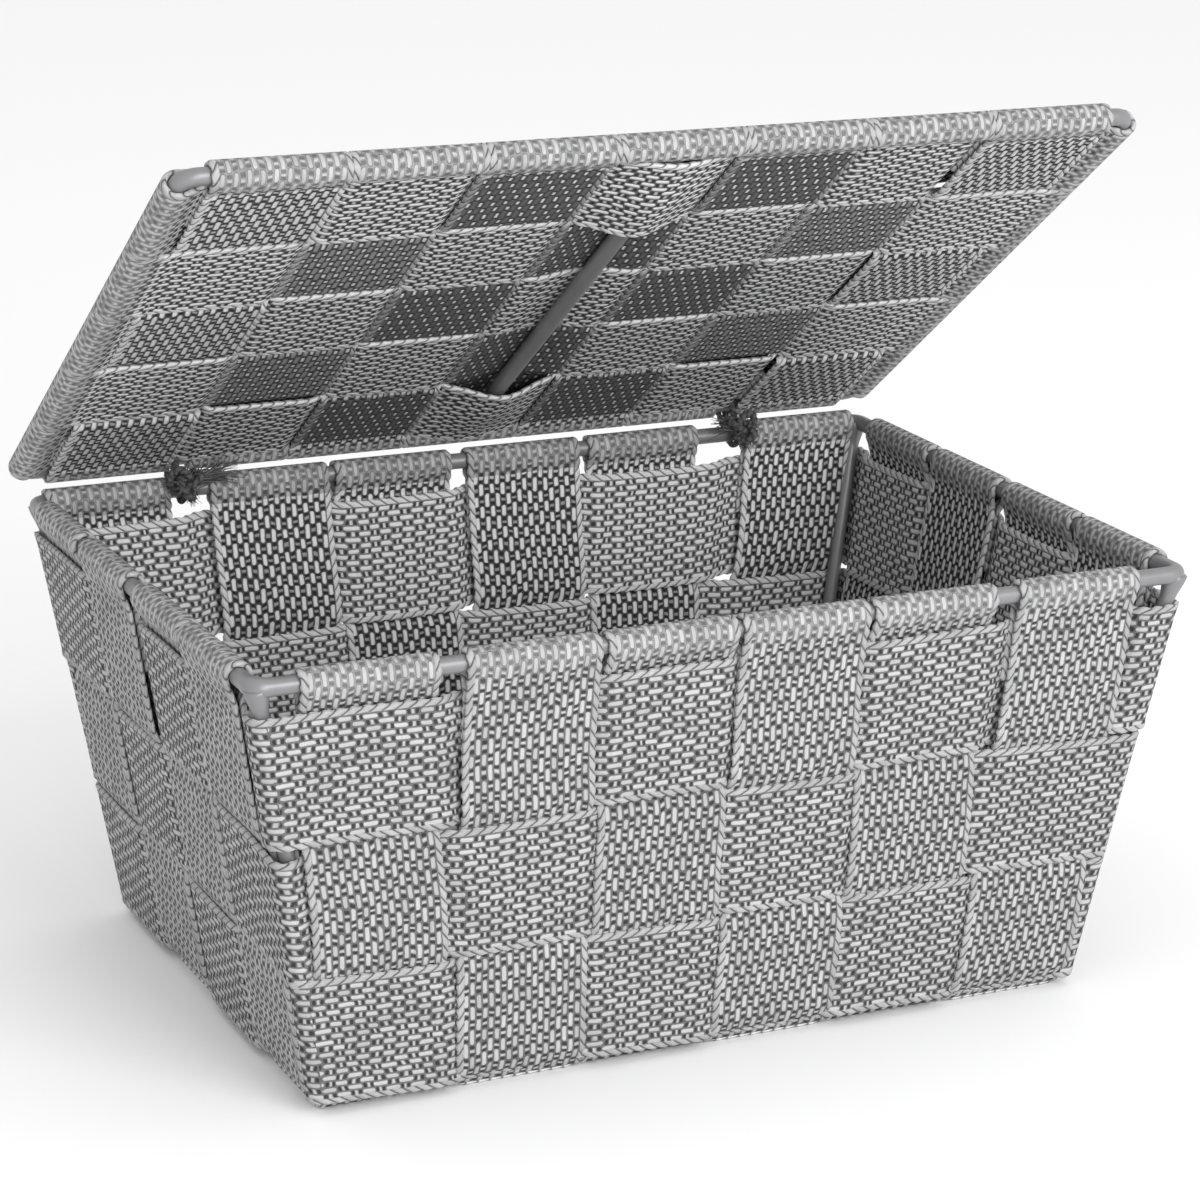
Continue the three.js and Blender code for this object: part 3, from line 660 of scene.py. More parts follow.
def lid_strap(name, axis, index):
    """Webbing strap of the lid, made closed about the hinge line and turned open."""
    if axis == 1:
        layers = [lid_layers(index, cross)[0] for cross in range(len(LID_ACROSS))]
        start, end = LID_OVERLAP - 2 * LID_HALF[1], LID_OVERLAP
        places, centre = LID_ACROSS, LID_ALONG[index]
        strength = LID_LONG_INSIDE_SHADE[abs(index - len(LID_ALONG) // 2)]
    else:
        layers = [lid_layers(cross, index)[1] for cross in range(len(LID_ALONG))]
        start, end = -LID_HALF[0], LID_HALF[0]
        places, centre = LID_ALONG, LID_ACROSS[index]
        strength = LID_SIDE_INSIDE_SHADE
    line, lengths = softened(lid_strap_line(start, end, places, layers), 2, LID_SOFTENING)
    flat, level, lift = line.T
    tangent = headings(line[:, :2])
    normal = np.column_stack([tangent[:, 1], -tangent[:, 0]])
    run, side = (BACK, RIGHT) if axis == 1 else (RIGHT, -BACK)
    sway = centre + wander(lengths, LID_SEED + SEED_STEP * axis + index, LID_WANDER)
    middle = flat[:, None] * run + (LID_LIFT + level)[:, None] * UP
    middle = middle + (sway if axis == 1 else -sway)[:, None] * side
    facing = normal[:, :1] * run + normal[:, 1:] * UP
    # Painted shade on the underside of the lid, and painted light on its folds round the wire
    inside = strength * smoothstep(*LID_FACING, -normal[:, 1:] * SIDE)
    at_fold = smoothstep(FOLD_REACH, 0.0, np.minimum(flat - start, end - flat))[:, None]
    inside = inside * (1 - at_fold) - FOLD_LIGHT * at_fold
    sideways = np.broadcast_to(side, middle.shape)
    droop = (side_strap_droop, long_strap_droop)[axis](flat, index)
    notch = tie_notch(flat, index) if axis == 1 else 0.0
    strap = web_skin(name, middle, sideways, facing, lift, lengths, inside, to_lid, droop, notch)
    return finish_piece(strap, "lid", "webbing", webbing)


def rounded_loop(half, corner, height):
    """Level rectangle with round corners, anticlockwise, spaced evenly along its length."""
    turn = np.linspace(0.0, np.pi / 2, WIRE_BEND_STEPS)
    signs = ((1, -1), (1, 1), (-1, 1), (-1, -1))
    arcs = []
    for number, (sign_x, sign_y) in enumerate(signs):
        angle = (number - 1) * np.pi / 2 + turn
        x = sign_x * (half[0] - corner) + corner * np.cos(angle)
        y = sign_y * (half[1] - corner) + corner * np.sin(angle)
        arcs.append(np.column_stack([x, y, np.full(len(turn), height)]))
    points = np.vstack(arcs)
    length = stretch_of(points, closed=True)
    places = np.linspace(0.0, length[-1], int(length[-1] / WIRE_STEP) + 1)[:-1]
    looped = np.vstack([points, points[:1]])
    return np.column_stack([np.interp(places, length, column) for column in looped.T])


def ring_of(first, second, angle):
    """Unit circles in the planes of two directions: cosine of the angle on one and sine on the other."""
    cosine, sine = np.cos(angle)[None, :, None], np.sin(angle)[None, :, None]
    return cosine * first[:, None, :] + sine * second[:, None, :]


def tube(path, radius, closed, toward, sides=WIRE_SIDES, lobes=0, depth=0.0, lay=1.0):
    """Round section carried along a path. With lobes it is a laid cord that turns once in each lay."""
    tangent = headings(path, closed)
    first = unit(np.cross(tangent, toward))
    second = np.cross(first, tangent)
    length = stretch_of(path, closed)
    angle = np.linspace(0.0, 2 * np.pi, sides, endpoint=False)
    groove = np.abs(np.cos(lobes / 2 * (angle[None, :] - 2 * np.pi * length[:len(path), None] / lay)))
    size = np.reshape(radius, (-1, 1)) * (1 - depth * (1 - groove))
    grid = path[:, None, :] + size[..., None] * ring_of(first, second, angle)[:, ::-1]
    across = angle * radius if np.isscalar(radius) else angle
    return grid, length, across, groove[:, ::-1]


def finish_piece(piece, body, slot, material, *nodes):
    """Rides a piece on its body, gives it its finish and hides the CAD nodes that it stands in for.

    Without nodes it hides the one that it is named after, and with None no node.
    """
    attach(piece, body)
    nodes = nodes or (piece.name.removesuffix("_woven").removesuffix("_drawn"),)
    if nodes[0]:
        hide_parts(*nodes)
    piece.data.materials.append(material)
    return piece


def wire(name, path, radius, closed, toward, body, place):
    """Drawn wire: a smooth tube along its path."""
    grid, length, across, groove = tube(path, radius, closed, toward)
    made = skin(name, place(grid), closed, length, across)
    return finish_piece(made, body, "frame_wire", paint)


def corner_middle(half, corner):
    """Middle of a round corner of a loop of wire, where an upright stands."""
    return np.asarray(half) - corner * (1 - np.sqrt(0.5))


# Materials


def feed(tree, socket, value):
    """Links a socket to another, or sets it to a plain value."""
    if isinstance(value, bpy.types.NodeSocket):
        tree.links.new(value, socket)
    else:
        socket.default_value = value


def shade(tree, kind, settings=(), **links):
    """New shader node with its settings, its inputs set or linked by name."""
    made = tree.nodes.new(kind)
    for key, value in dict(settings).items():
        setattr(made, key, value)
    for key, value in links.items():
        feed(tree, made.inputs[key.replace("_", " ")], value)
    return made


def sums(tree, operation, *values):
    """Math node of one operation; returns its value socket."""
    made = tree.nodes.new("ShaderNodeMath")
    made.operation = operation
    for socket, value in zip(made.inputs, values):
        feed(tree, socket, value)
    return made.outputs[0]


def between(tree, value, low, high):
    """Smooth step of a value from 0 at one limit to 1 at the other."""
    smooth = {"interpolation_type": "SMOOTHSTEP"}
    made = shade(tree, "ShaderNodeMapRange", smooth, Value=value, From_Min=low, From_Max=high)
    return made.outputs["Result"]


def ranged(tree, value, low, high):
    """A share from 0 to 1 carried to the range between two values."""
    return shade(tree, "ShaderNodeMapRange", Value=value, To_Min=low, To_Max=high).outputs["Result"]


def mixed(tree, share, first, second):
    """Colour mix of two colours or sockets."""
    made = tree.nodes.new("ShaderNodeMix")
    made.data_type = "RGBA"
    for index, value in ((0, share), (6, first), (7, second)):
        feed(tree, made.inputs[index], value)
    return made.outputs[2]


def half_round(tree, value):
    """Height of a round section at a place from 0 in its middle to 1 at its side."""
    square = sums(tree, "MULTIPLY", value, value)
    return sums(tree, "SQRT", sums(tree, "MAXIMUM", sums(tree, "SUBTRACT", 1.0, square), 0.0))


def stitch_group():
    """Webbing pattern: rows of yarn floats, staggered by half a period, and a slanted braid on each edge.

    A dot of crossing yarn lies between the floats of a row, with a hole on either side of it. The ground,
    the holes and the braid's valleys carry painted shade. On inside faces more painted shade darkens the
    ground first, and then the floats, and on folds and side-wall straps painted light lifts the ground and
    holes. Gives the height, lit share and stitch's tone.
    """
    tree = bpy.data.node_groups.new("webbing_stitch", "ShaderNodeTree")
    for name in ("Length", "Across", "Inside"):
        tree.interface.new_socket(name, in_out="INPUT", socket_type="NodeSocketFloat")
    for name in ("Height", "Lit", "Tone"):
        tree.interface.new_socket(name, in_out="OUTPUT", socket_type="NodeSocketFloat")
    given = tree.nodes.new("NodeGroupInput").outputs
    length = sums(tree, "DIVIDE", given["Length"], MM)
    across = sums(tree, "DIVIDE", given["Across"], MM)
    spot = shade(tree, "ShaderNodeCombineXYZ", X=length, Y=across).outputs[0]
    level = {"noise_dimensions": "2D"}
    drift = shade(tree, "ShaderNodeTexNoise", level, Vector=spot, Scale=DRIFT_SCALE, Detail=1.0).outputs[0]
    fibre_x, fibre_y = (sums(tree, "MULTIPLY", *pair) for pair in zip((length, across), FIBRE_SCALES))
    fibre_spot = shade(tree, "ShaderNodeCombineXYZ", X=fibre_x, Y=fibre_y).outputs[0]
    fibre = shade(tree, "ShaderNodeTexNoise", level, Vector=fibre_spot, Scale=1.0, Detail=2.0).outputs[0]
    row_place = sums(tree, "DIVIDE", sums(tree, "MULTIPLY_ADD", drift, ROW_DRIFT, across), YARN_ROW)
    row = sums(tree, "FLOOR", row_place)
    from_row = sums(tree, "MULTIPLY", sums(tree, "SUBTRACT", sums(tree, "FRACT", row_place), 0.5), 2.0)
    stagger = sums(tree, "MULTIPLY", sums(tree, "MODULO", row, 2.0), 0.5)
    period = sums(tree, "ADD", sums(tree, "DIVIDE", length, STITCH_PERIOD), stagger)
    period = sums(tree, "MULTIPLY_ADD", drift, PERIOD_DRIFT, period)
    cell = sums(tree, "FLOOR", period)
    from_cell = sums(tree, "ABSOLUTE", sums(tree, "SUBTRACT", sums(tree, "FRACT", period), 0.5))
    number = shade(tree, "ShaderNodeCombineXYZ", X=row, Y=cell).outputs[0]
    tone = shade(tree, "ShaderNodeTexWhiteNoise", level, Vector=number).outputs["Value"]
    beside = sums(tree, "ABSOLUTE", from_row)
    float_half = sums(tree, "MULTIPLY_ADD", tone, FLOAT_SPREAD, FLOAT_HALF - FLOAT_SPREAD / 2)
    rough_edge = sums(tree, "MULTIPLY_ADD", fibre, ROUGH_EDGE, -ROUGH_EDGE / 2)
    past_end = sums(tree, "SUBTRACT", from_cell, float_half)
    past_end = sums(tree, "MAXIMUM", sums(tree, "MULTIPLY_ADD", past_end, 1 / FLOAT_END, 1.0), 0.0)
    past_side = sums(tree, "DIVIDE", beside, FLOAT_WIDTH)
    off_float = shade(tree, "ShaderNodeCombineXYZ", X=past_end, Y=past_side).outputs[0]
    off_float = shade(tree, "ShaderNodeVectorMath", {"operation": "LENGTH"}, Vector=off_float)
    off_float = sums(tree, "ADD", off_float.outputs["Value"], rough_edge)
    yarn_float = between(tree, off_float, 1 + FLOAT_SOFT, 1 - FLOAT_SOFT)
    from_gap = sums(tree, "SUBTRACT", 0.5, from_cell)
    # Dotted share of the painted shade on the darkest inside faces: larger dots, dimmer floats and braid
    dotted_shade = between(tree, given["Inside"], *DOTTED_SHADE_RANGE)
    dot_half = sums(tree, "MULTIPLY_ADD", dotted_shade, DOT_GROWTH, DOT_HALF)
    past_dot = sums(tree, "SUBTRACT", from_gap, dot_half)
    dot_side = sums(tree, "MULTIPLY_ADD", dotted_shade, DOT_NARROWING, beside)
    dot = between(tree, past_dot, DOT_SOFT, -DOT_SOFT)
    dot = sums(tree, "MULTIPLY", dot, between(tree, dot_side, *DOT_SIDE))
    from_hole = sums(tree, "ABSOLUTE", sums(tree, "SUBTRACT", from_gap, HOLE_PLACE))
    hole = between(tree, from_hole, HOLE_HALF + HOLE_SOFT, HOLE_HALF - HOLE_SOFT)
    hole = sums(tree, "MULTIPLY", hole, between(tree, beside, *HOLE_SIDE))
    crown = half_round(tree, sums(tree, "MULTIPLY", from_row, YARN_ROUND))
    crown = sums(tree, "MULTIPLY", yarn_float, crown)
    body = sums(tree, "MAXIMUM", crown, sums(tree, "MULTIPLY", dot, DOT_HEIGHT))
    body = sums(tree, "MAXIMUM", body, sums(tree, "MULTIPLY_ADD", hole, -GROUND_HEIGHT, GROUND_HEIGHT))
    # Ticked share of the painted shade on inside faces: darker ground and dimmer dots
    ticked_shade = between(tree, given["Inside"], *TICKED_SHADE_RANGE)
    float_lit = sums(tree, "MULTIPLY", yarn_float, sums(tree, "MULTIPLY_ADD", dotted_shade, -FLOAT_INSIDE_SHADE, 1.0))
    dot_dim = sums(tree, "MULTIPLY", sums(tree, "SUBTRACT", ticked_shade, dotted_shade), -DOT_INSIDE_SHADE)
    dot_lit = sums(tree, "MULTIPLY", dot, sums(tree, "ADD", dot_dim, DOT_LIT))
    # Painted light on folds and side-wall straps: paler ground and shallower holes
    lighter = between(tree, given["Inside"], *FOLD_LIGHT_RANGE)
    ground = sums(tree, "MULTIPLY_ADD", ticked_shade, -GROUND_INSIDE_SHADE, GROUND)
    ground = sums(tree, "MULTIPLY_ADD", lighter, FOLD_GROUND_LIGHT, ground)
    hole_depth = sums(tree, "MULTIPLY_ADD", lighter, FOLD_HOLE_LIGHT, -HOLE_SHADE)
    ground = sums(tree, "MULTIPLY", ground, sums(tree, "MULTIPLY_ADD", hole, hole_depth, 1.0))
    lit = sums(tree, "MAXIMUM", ground, sums(tree, "MAXIMUM", float_lit, dot_lit))
    edge = sums(tree, "MINIMUM", across, sums(tree, "SUBTRACT", WEB_WIDTH, across))
    slant = sums(tree, "DIVIDE", sums(tree, "MULTIPLY_ADD", edge, BRAID_SLANT, length), SCALLOP_PERIOD)
    strand = sums(tree, "MULTIPLY", sums(tree, "SUBTRACT", sums(tree, "FRACT", slant), 0.5), STRAND_ROUND)
    braid = sums(tree, "MULTIPLY", half_round(tree, strand), BRAID_HEIGHT)
    at_edge = between(tree, edge, *BRAID_WIDTH)
    body = sums(tree, "MULTIPLY_ADD", at_edge, sums(tree, "SUBTRACT", braid, body), body)
    body = sums(tree, "MULTIPLY_ADD", sums(tree, "SUBTRACT", fibre, 0.5), FIBRE_HEIGHT, body)
    # Braid: painted shade in the valleys between its strands, dimmer on the darkest inside faces
    braid_lit = ranged(tree, between(tree, braid, *BRAID_CROWN), *BRAID_LIT)
    braid_lit = sums(tree, "MULTIPLY", braid_lit, sums(tree, "MULTIPLY_ADD", dotted_shade, -BRAID_INSIDE_SHADE, 1.0))
    lit = sums(tree, "MULTIPLY_ADD", at_edge, sums(tree, "SUBTRACT", braid_lit, lit), lit)
    lit = sums(tree, "MULTIPLY", lit, sums(tree, "MULTIPLY_ADD", fibre, FIBRE_TONE, 1 - FIBRE_TONE / 2))
    given_back = tree.nodes.new("NodeGroupOutput").inputs
    for name, value in (("Height", body), ("Lit", lit), ("Tone", tone)):
        tree.links.new(value, given_back[name])
    return tree


def principled(name):
    """New node material; returns it, its tree and its Principled shader."""
    material = bpy.data.materials.new(name)
    material.use_nodes = True
    return material, material.node_tree, material.node_tree.nodes["Principled BSDF"]


def webbing_material():
    """Grey yarn webbing: pale floats, painted shade between them, and deeper painted shade on the faces that
    look into the box.
    """
    material, tree, shader = principled("grey_webbing")
    place = shade(tree, "ShaderNodeUVMap", {"uv_map": "web"}).outputs[0]
    parts = shade(tree, "ShaderNodeSeparateXYZ", Vector=place).outputs
    inside = shade(tree, "ShaderNodeAttribute", {"attribute_name": "inside"}).outputs["Fac"]
    group = {"node_tree": stitch_group()}
    stitch = shade(tree, "ShaderNodeGroup", group, Length=parts[0], Across=parts[1], Inside=inside).outputs
    yarn = mixed(tree, stitch["Tone"], (0.36, 0.36, 0.365, 1), (0.47, 0.47, 0.47, 1))
    # Paler yarn on inside faces: painted light
    yarn = mixed(tree, between(tree, inside, 0.0, BAND_INSIDE_SHADE), yarn, (0.68, 0.68, 0.68, 1))
    # Painted shade in the gaps between floats, a little darker on inside faces
    deep = mixed(tree, inside, (0.02, 0.02, 0.021, 1), (0.012, 0.012, 0.013, 1))
    tree.links.new(mixed(tree, stitch["Lit"], deep, yarn), shader.inputs["Base Color"])
    tree.links.new(ranged(tree, stitch["Lit"], 0.95, 0.62), shader.inputs["Roughness"])
    bump = shade(tree, "ShaderNodeBump", Height=stitch["Height"], Strength=1.0, Distance=0.7 * MM)
    tree.links.new(bump.outputs[0], shader.inputs["Normal"])
    shader.inputs["Specular IOR Level"].default_value = 0.3
    return material


def paint_material():
    """Satin grey paint on wire, with a fine orange peel and faint drifts of tone."""
    material, tree, shader = principled("grey_paint")
    place = shade(tree, "ShaderNodeTexCoord").outputs["Object"]
    drift = shade(tree, "ShaderNodeTexNoise", Vector=place, Scale=90.0, Detail=3.0).outputs[0]
    peel = shade(tree, "ShaderNodeTexNoise", Vector=place, Scale=900.0, Detail=2.0).outputs[0]
    colour = mixed(tree, drift, (0.17, 0.17, 0.175, 1), (0.25, 0.25, 0.255, 1))
    tree.links.new(colour, shader.inputs["Base Color"])
    tree.links.new(ranged(tree, drift, 0.28, 0.46), shader.inputs["Roughness"])
    bump = shade(tree, "ShaderNodeBump", Height=peel, Strength=0.35, Distance=0.1 * MM)
    tree.links.new(bump.outputs[0], shader.inputs["Normal"])
    shader.inputs["Metallic"].default_value = 0.25
    return material


def cord_material():
    """Dark laid cord: painted shade in the grooves, so the strands are lighter on their crowns, with fine
    fibre.
    """
    material, tree, shader = principled("dark_cord")
    place = shade(tree, "ShaderNodeTexCoord").outputs["Object"]
    fibre = shade(tree, "ShaderNodeTexNoise", Vector=place, Scale=2600.0, Detail=3.0).outputs[0]
    # Crown share of the strands, for painted shade in the grooves; on loose fibres it is a random tone per
    # fibre
    crown = shade(tree, "ShaderNodeAttribute", {"attribute_name": "inside"}).outputs["Fac"]
    lit = sums(tree, "MULTIPLY", crown, fibre)
    colour = mixed(tree, lit, (0.012, 0.012, 0.013, 1), (0.16, 0.16, 0.165, 1))
    tree.links.new(colour, shader.inputs["Base Color"])
    bump = shade(tree, "ShaderNodeBump", Height=fibre, Strength=0.8, Distance=0.25 * MM)
    tree.links.new(bump.outputs[0], shader.inputs["Normal"])
    shader.inputs["Roughness"].default_value = 0.85
    return material


webbing = webbing_material()
paint = paint_material()
dark_cord = cord_material()

# Box: wires, straps and bands

rim_path = rounded_loop(RIM_HALF, RIM_CORNER, RIM_HEIGHT)
head = corner_middle(RIM_HALF, RIM_CORNER)
foot = corner_middle(BASE_WIRE_HALF, BASE_CORNER)
from_weld = np.linalg.norm(rim_path[:, :2] + head, axis=1)
rim_radius = WIRE_RADIUS + RIM_WELD * np.exp(-(from_weld / RIM_WELD_REACH) ** 2)
wire("rim_wire_drawn", rim_path, rim_radius, True, UP, "box", in_box)
base_path = rounded_loop(BASE_WIRE_HALF, BASE_CORNER, BASE_WIRE_HEIGHT)
wire("base_wire_drawn", base_path, WIRE_RADIUS, True, UP, "box", in_box)
for end, sign_y in (("front", -1), ("back", 1)):
    for hand, sign_x in (("left", -1), ("right", 1)):
        low_end = np.array([sign_x * foot[0], sign_y * foot[1], BASE_WIRE_HEIGHT])
        high_end = np.array([sign_x * head[0], sign_y * head[1], RIM_HEIGHT])
        upright = low_end + np.linspace(0.0, 1.0, UPRIGHT_STEPS)[:, None] * (high_end - low_end)
        from_ends = np.minimum(upright[:, 2] - BASE_WIRE_HEIGHT, RIM_HEIGHT - upright[:, 2])
        radius = UPRIGHT_RADIUS + UPRIGHT_FLARE * smoothstep(UPRIGHT_FLARE_REACH, 0.0, from_ends)
        wire(f"corner_wire_{end}_{hand}_drawn", upright, radius, False, BACK, "box", in_box)

rows = range(len(ROW_MIDDLES))
for number in range(1, len(ALONG_BASE) + 1):
    flags = [[outside_at(number, end, row) for row in rows] for end in (1, 0)]
    lowest = (number + np.arange(1, len(ACROSS_BASE) + 1)) % 2 == 0
    ends = (flags, ACROSS_BASE, lowest, ALONG_BASE, ALONG_FRONT, ALONG_BACK)
    box_strap(f"front_back_strap_{number}_woven", 1, number - 1, ends)
for number in range(1, len(ACROSS_BASE) + 1):
    flags = [[not outside_at(number, end, row) for row in rows] for end in (1, 0)]
    lowest = (number + np.arange(1, len(ALONG_BASE) + 1)) % 2 == 1
    ends = (flags, ALONG_BASE, lowest, ACROSS_BASE, ACROSS_LEFT, ACROSS_RIGHT)
    box_strap(f"side_strap_{number}_woven", 0, number - 1, ends)
for row, name in enumerate(("upper", "middle", "lower")):
    band(f"{name}_band_woven", row)

# Lid: wire, bar and straps

lid_path = rounded_loop(LID_HALF, LID_CORNER, LID_LIFT) + [0.0, LID_OVERLAP - LID_HALF[1], 0.0]
wire("lid_wire_drawn", lid_path, WIRE_RADIUS, True, UP, "lid", to_lid)
bar_ends = (LID_OVERLAP - 2 * LID_HALF[1] + BAR_END_GAP, LID_OVERLAP - BAR_END_GAP)


def pressed_bar(grid):
    """The bar's ends pressed flat and raised to the sheet, by a smooth step over their last stretch."""
    from_end = np.minimum(grid[..., 1] - bar_ends[0], bar_ends[1] - grid[..., 1])
    press = smoothstep(BAR_PRESS, 0.0, from_end)
    level = LID_LIFT + BAR_LEVEL
    shaped = grid.copy()
    shaped[..., 2] = level + BAR_RISE * press + (grid[..., 2] - level) * (1 - (1 - BAR_FLAT) * press)
    return to_lid(shaped)


bar_run = np.linspace(*bar_ends, BAR_STEPS)
bar_path = np.column_stack([np.zeros(BAR_STEPS), bar_run, np.full(BAR_STEPS, LID_LIFT + BAR_LEVEL)])
wire("lid_bar_drawn", bar_path, WIRE_RADIUS, False, UP, "lid", pressed_bar)
for number in range(1, len(LID_ALONG) + 1):
    lid_strap(f"lid_front_back_strap_{number}_woven", 1, number - 1)
for number in range(1, len(LID_ACROSS) + 1):
    lid_strap(f"lid_side_strap_{number}_woven", 0, number - 1)

# Ties and knots of the hinge


def tie_path(sign):
    """Turns of cord round the rim wire and the lid wire together: a stadium round both, wound along X."""
    span = np.hypot(LID_OVERLAP, LID_LIFT)
    lean = np.arctan2(LID_LIFT, LID_OVERLAP)
    bow = np.pi * TIE_RADIUS
    turn = np.linspace(0.0, TIE_TURNS, TIE_STEPS)
    way = (turn % 1.0) * 2 * (span + bow)
    first = np.clip(way, 0.0, span)
    far = np.clip((way - span) / TIE_RADIUS, 0.0, np.pi)
    second = np.clip(way - span - bow, 0.0, span)
    near = np.clip((way - 2 * span - bow) / TIE_RADIUS, 0.0, np.pi)
    angle = far + near - np.pi / 2
    along = first - second + TIE_RADIUS * np.cos(angle)
    beside = TIE_RADIUS * np.sin(angle)
    y = along * np.cos(lean) - beside * np.sin(lean)
    z = along * np.sin(lean) + beside * np.cos(lean)
    x = sign * (TIE_X - (turn - TIE_TURNS / 2) * TIE_PITCH)
    return np.column_stack([x, y, z])


def knot_path(sign):
    """Overhand knot: a trefoil laid against the inside of the turns."""
    angle = np.linspace(0.0, 2 * np.pi, KNOT_STEPS, endpoint=False)
    depth = -(TIE_RADIUS + 2 * TIE_CORD + TOUCH_GAP + KNOT_LIFT)
    x = TIE_X + KNOT_LOOP * (np.sin(angle) + 2 * np.sin(2 * angle))
    z = KNOT_LOOP * (np.cos(angle) - 2 * np.cos(2 * angle)) - KNOT_DROP
    return np.column_stack([sign * x, depth + KNOT_LIFT * np.sin(3 * angle), z])


def cord(name, path, radius, closed, toward, node):
    """Laid cord along a path of the lid, its grooves kept for painted shade."""
    laid = (CORD_SIDES, CORD_STRANDS, GROOVE_DEPTH, CORD_LAY)
    grid, length, across, groove = tube(path, radius, closed, toward, *laid)
    made = skin(name, to_lid(grid), closed, length, across, groove)
    return finish_piece(made, "lid", "tie_cord", dark_cord, node)


def fray(name, roots, ways, lengths, seed):
    """Loose fibres of a cord: thin tapered tubes along their ways, bent by a square term."""
    generator = np.random.default_rng(seed)
    count = len(roots)
    along = np.linspace(0.0, 1.0, FIBRE_STEPS)[None, :, None]
    bend = generator.normal(0.0, FIBRE_BEND, (count, 1, 3))
    path = roots[:, None, :] + lengths[:, None, None] * (along * ways[:, None, :] + along ** 2 * bend)
    first = unit(np.cross(ways, UP + RIGHT / 10))
    second = np.cross(first, ways)
    angle = np.arange(FIBRE_SIDES) * 2 * np.pi / FIBRE_SIDES
    ring = ring_of(first, second, angle)
    radius = FIBRE_RADIUS * (1 - FIBRE_TAPER * along)
    corners = path[:, :, None, :] + radius[..., None] * ring[:, None, ::-1, :]
    step = np.arange(FIBRE_STEPS - 1)[:, None] * FIBRE_SIDES
    spot = np.arange(FIBRE_SIDES)[None, :]
    beside = (spot + 1) % FIBRE_SIDES
    after = step + FIBRE_SIDES
    quads = np.stack([step + spot, after + spot, after + beside, step + beside], axis=-1)
    end = np.arange(FIBRE_SIDES)
    caps = np.stack([end, (FIBRE_STEPS - 1) * FIBRE_SIDES + end[::-1]])
    one = np.vstack([quads.reshape(-1, 4), caps])
    corner_count = FIBRE_STEPS * FIBRE_SIDES
    faces = (one + (np.arange(count) * corner_count)[:, None, None]).reshape(-1, FIBRE_SIDES)
    light = np.repeat(generator.uniform(*FIBRE_LIGHT, count), corner_count)
    made = new_object(name, to_lid(corners.reshape(-1, 3)), [faces], inside=light)
    return finish_piece(made, "lid", "tie_cord", dark_cord, None)


def knot_fuzz(sign):
    """Roots, ways and lengths of the short fibres that stand off a knot all round, started on its cord."""
    generator = np.random.default_rng(FUZZ_SEED + sign)
    knot = knot_path(sign)
    starts = knot[generator.integers(0, len(knot), FUZZ_COUNT)]
    outward = unit(starts - knot.mean(axis=0))
    ways = unit(outward + generator.normal(0.0, FUZZ_SPREAD, (FUZZ_COUNT, 3)))
    return starts + KNOT_CORD_RADIUS / 2 * outward, ways, generator.uniform(*FUZZ_LENGTH, FUZZ_COUNT)


def knot_tail(sign, count, reach):
    """Roots, ways and lengths of a frayed cord end: a flat bundle that leaves a knot towards the middle."""
    generator = np.random.default_rng(TAIL_SEED + sign)
    root = knot_path(sign).mean(axis=0) + [-sign * 2 * KNOT_LOOP, 0.0, TAIL_LIFT]
    roots = root + generator.normal(0.0, 1.0, (count, 3)) * TAIL_BUNDLE
    ways = unit(np.array([-sign, *TAIL_SLOPE]) + generator.normal(0.0, TAIL_SPREAD, (count, 3)))
    return roots, ways, generator.uniform(*TAIL_LENGTH, count) * reach


for hand, sign in (("left", -1), ("right", 1)):
    cord(f"hinge_tie_{hand}_laid", tie_path(sign), CORD_RADIUS, False, RIGHT, f"hinge_tie_{hand}")
    cord(f"hinge_knot_{hand}_laid", knot_path(sign), KNOT_CORD_RADIUS, True, BACK, f"hinge_knot_{hand}")
    fray(f"knot_fuzz_{hand}", *knot_fuzz(sign), BEND_SEED + sign)
for hand, sign, count, reach, seed in TAILS:
    fray(f"knot_tail_{hand}", *knot_tail(sign, count, reach), seed)

# Floor, light and camera
FLOOR_HALF = 6000.0
LIGHT_SIZE = 1.2
PHOTO_PIXELS = 1200.0
FOCAL_PIXELS = 3731.1
SENSOR_WIDTH = 36.0
CAMERA_TURN = (-25.08, 16.76, 0.89)
CAMERA_DISTANCE = 1109.8
CAMERA_TARGET = np.array([6.9, 9.7, 106.0])


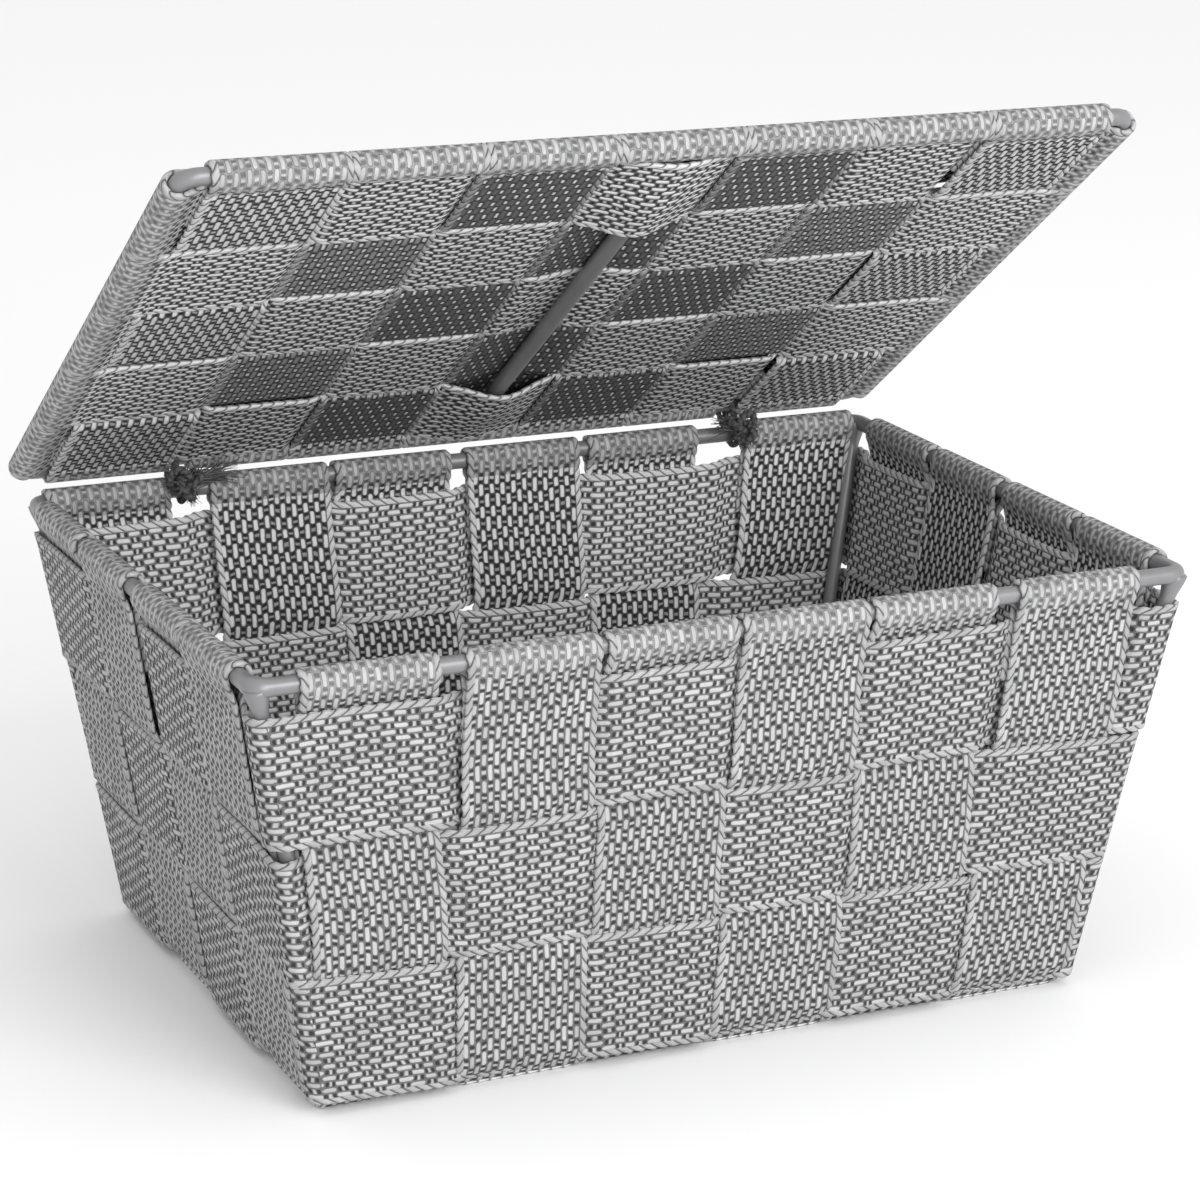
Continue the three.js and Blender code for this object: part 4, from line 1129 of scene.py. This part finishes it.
def floor():
    """Pale plain floor: a level sheet far wider than the view."""
    spots = FLOOR_HALF * np.array([[-1, -1, 0], [1, -1, 0], [1, 1, 0], [-1, 1, 0]])
    made = new_object("floor", spots, [np.arange(4)[None, :]])
    material, tree, shader = principled("pale_floor")
    shader.inputs["Base Color"].default_value = (0.92, 0.92, 0.92, 1)
    shader.inputs["Roughness"].default_value = 0.9
    made.data.materials.append(material)


def soft_light(name, place, target, power):
    """Square soft box at a place, turned to a target."""
    light = bpy.data.lights.new(name, "AREA")
    light.size = LIGHT_SIZE
    light.energy = power
    made = bpy.data.objects.new(name, light)
    made.location = place
    made.rotation_euler = (Vector(target) - Vector(place)).to_track_quat("-Z", "Y").to_euler()
    bpy.context.collection.objects.link(made)


def photo_camera():
    """Camera of the photograph: a long lens from the front left, a little above the rim."""
    azimuth, elevation, roll = np.radians(CAMERA_TURN)
    level_back = np.array([np.sin(azimuth), -np.cos(azimuth), 0.0])
    back = np.cos(elevation) * level_back + np.sin(elevation) * UP
    right = unit(np.cross(-back, UP))
    up = np.cross(back, right)
    tilted_right = np.cos(roll) * right + np.sin(roll) * up
    tilted_up = np.cos(roll) * up - np.sin(roll) * right
    data = bpy.data.cameras.new("photo_camera")
    data.sensor_width = SENSOR_WIDTH
    data.lens = FOCAL_PIXELS / PHOTO_PIXELS * SENSOR_WIDTH
    made = bpy.data.objects.new("photo_camera", data)
    turn = Matrix(np.column_stack([tilted_right, tilted_up, back]).tolist()).to_4x4()
    place = CAMERA_TARGET + BOX_MIDDLE + CAMERA_DISTANCE * back
    made.matrix_world = Matrix.Translation(Vector(place * MM)) @ turn
    bpy.context.collection.objects.link(made)
    bpy.context.scene.camera = made


floor()
soft_light("key_light", place=(0.45, -1.9, 1.05), target=(0, 0, 0.12), power=25.0)
soft_light("low_light", place=(-0.2, -2.0, 0.3), target=(0, 0, 0.15), power=16.0)
world = bpy.data.worlds.new("studio")
world.use_nodes = True
sky = world.node_tree.nodes["Background"].inputs
sky["Color"].default_value = (1.0, 1.0, 1.0, 1.0)
sky["Strength"].default_value = 0.96
bpy.context.scene.world = world
bpy.context.scene.view_settings.view_transform = "Standard"
photo_camera()
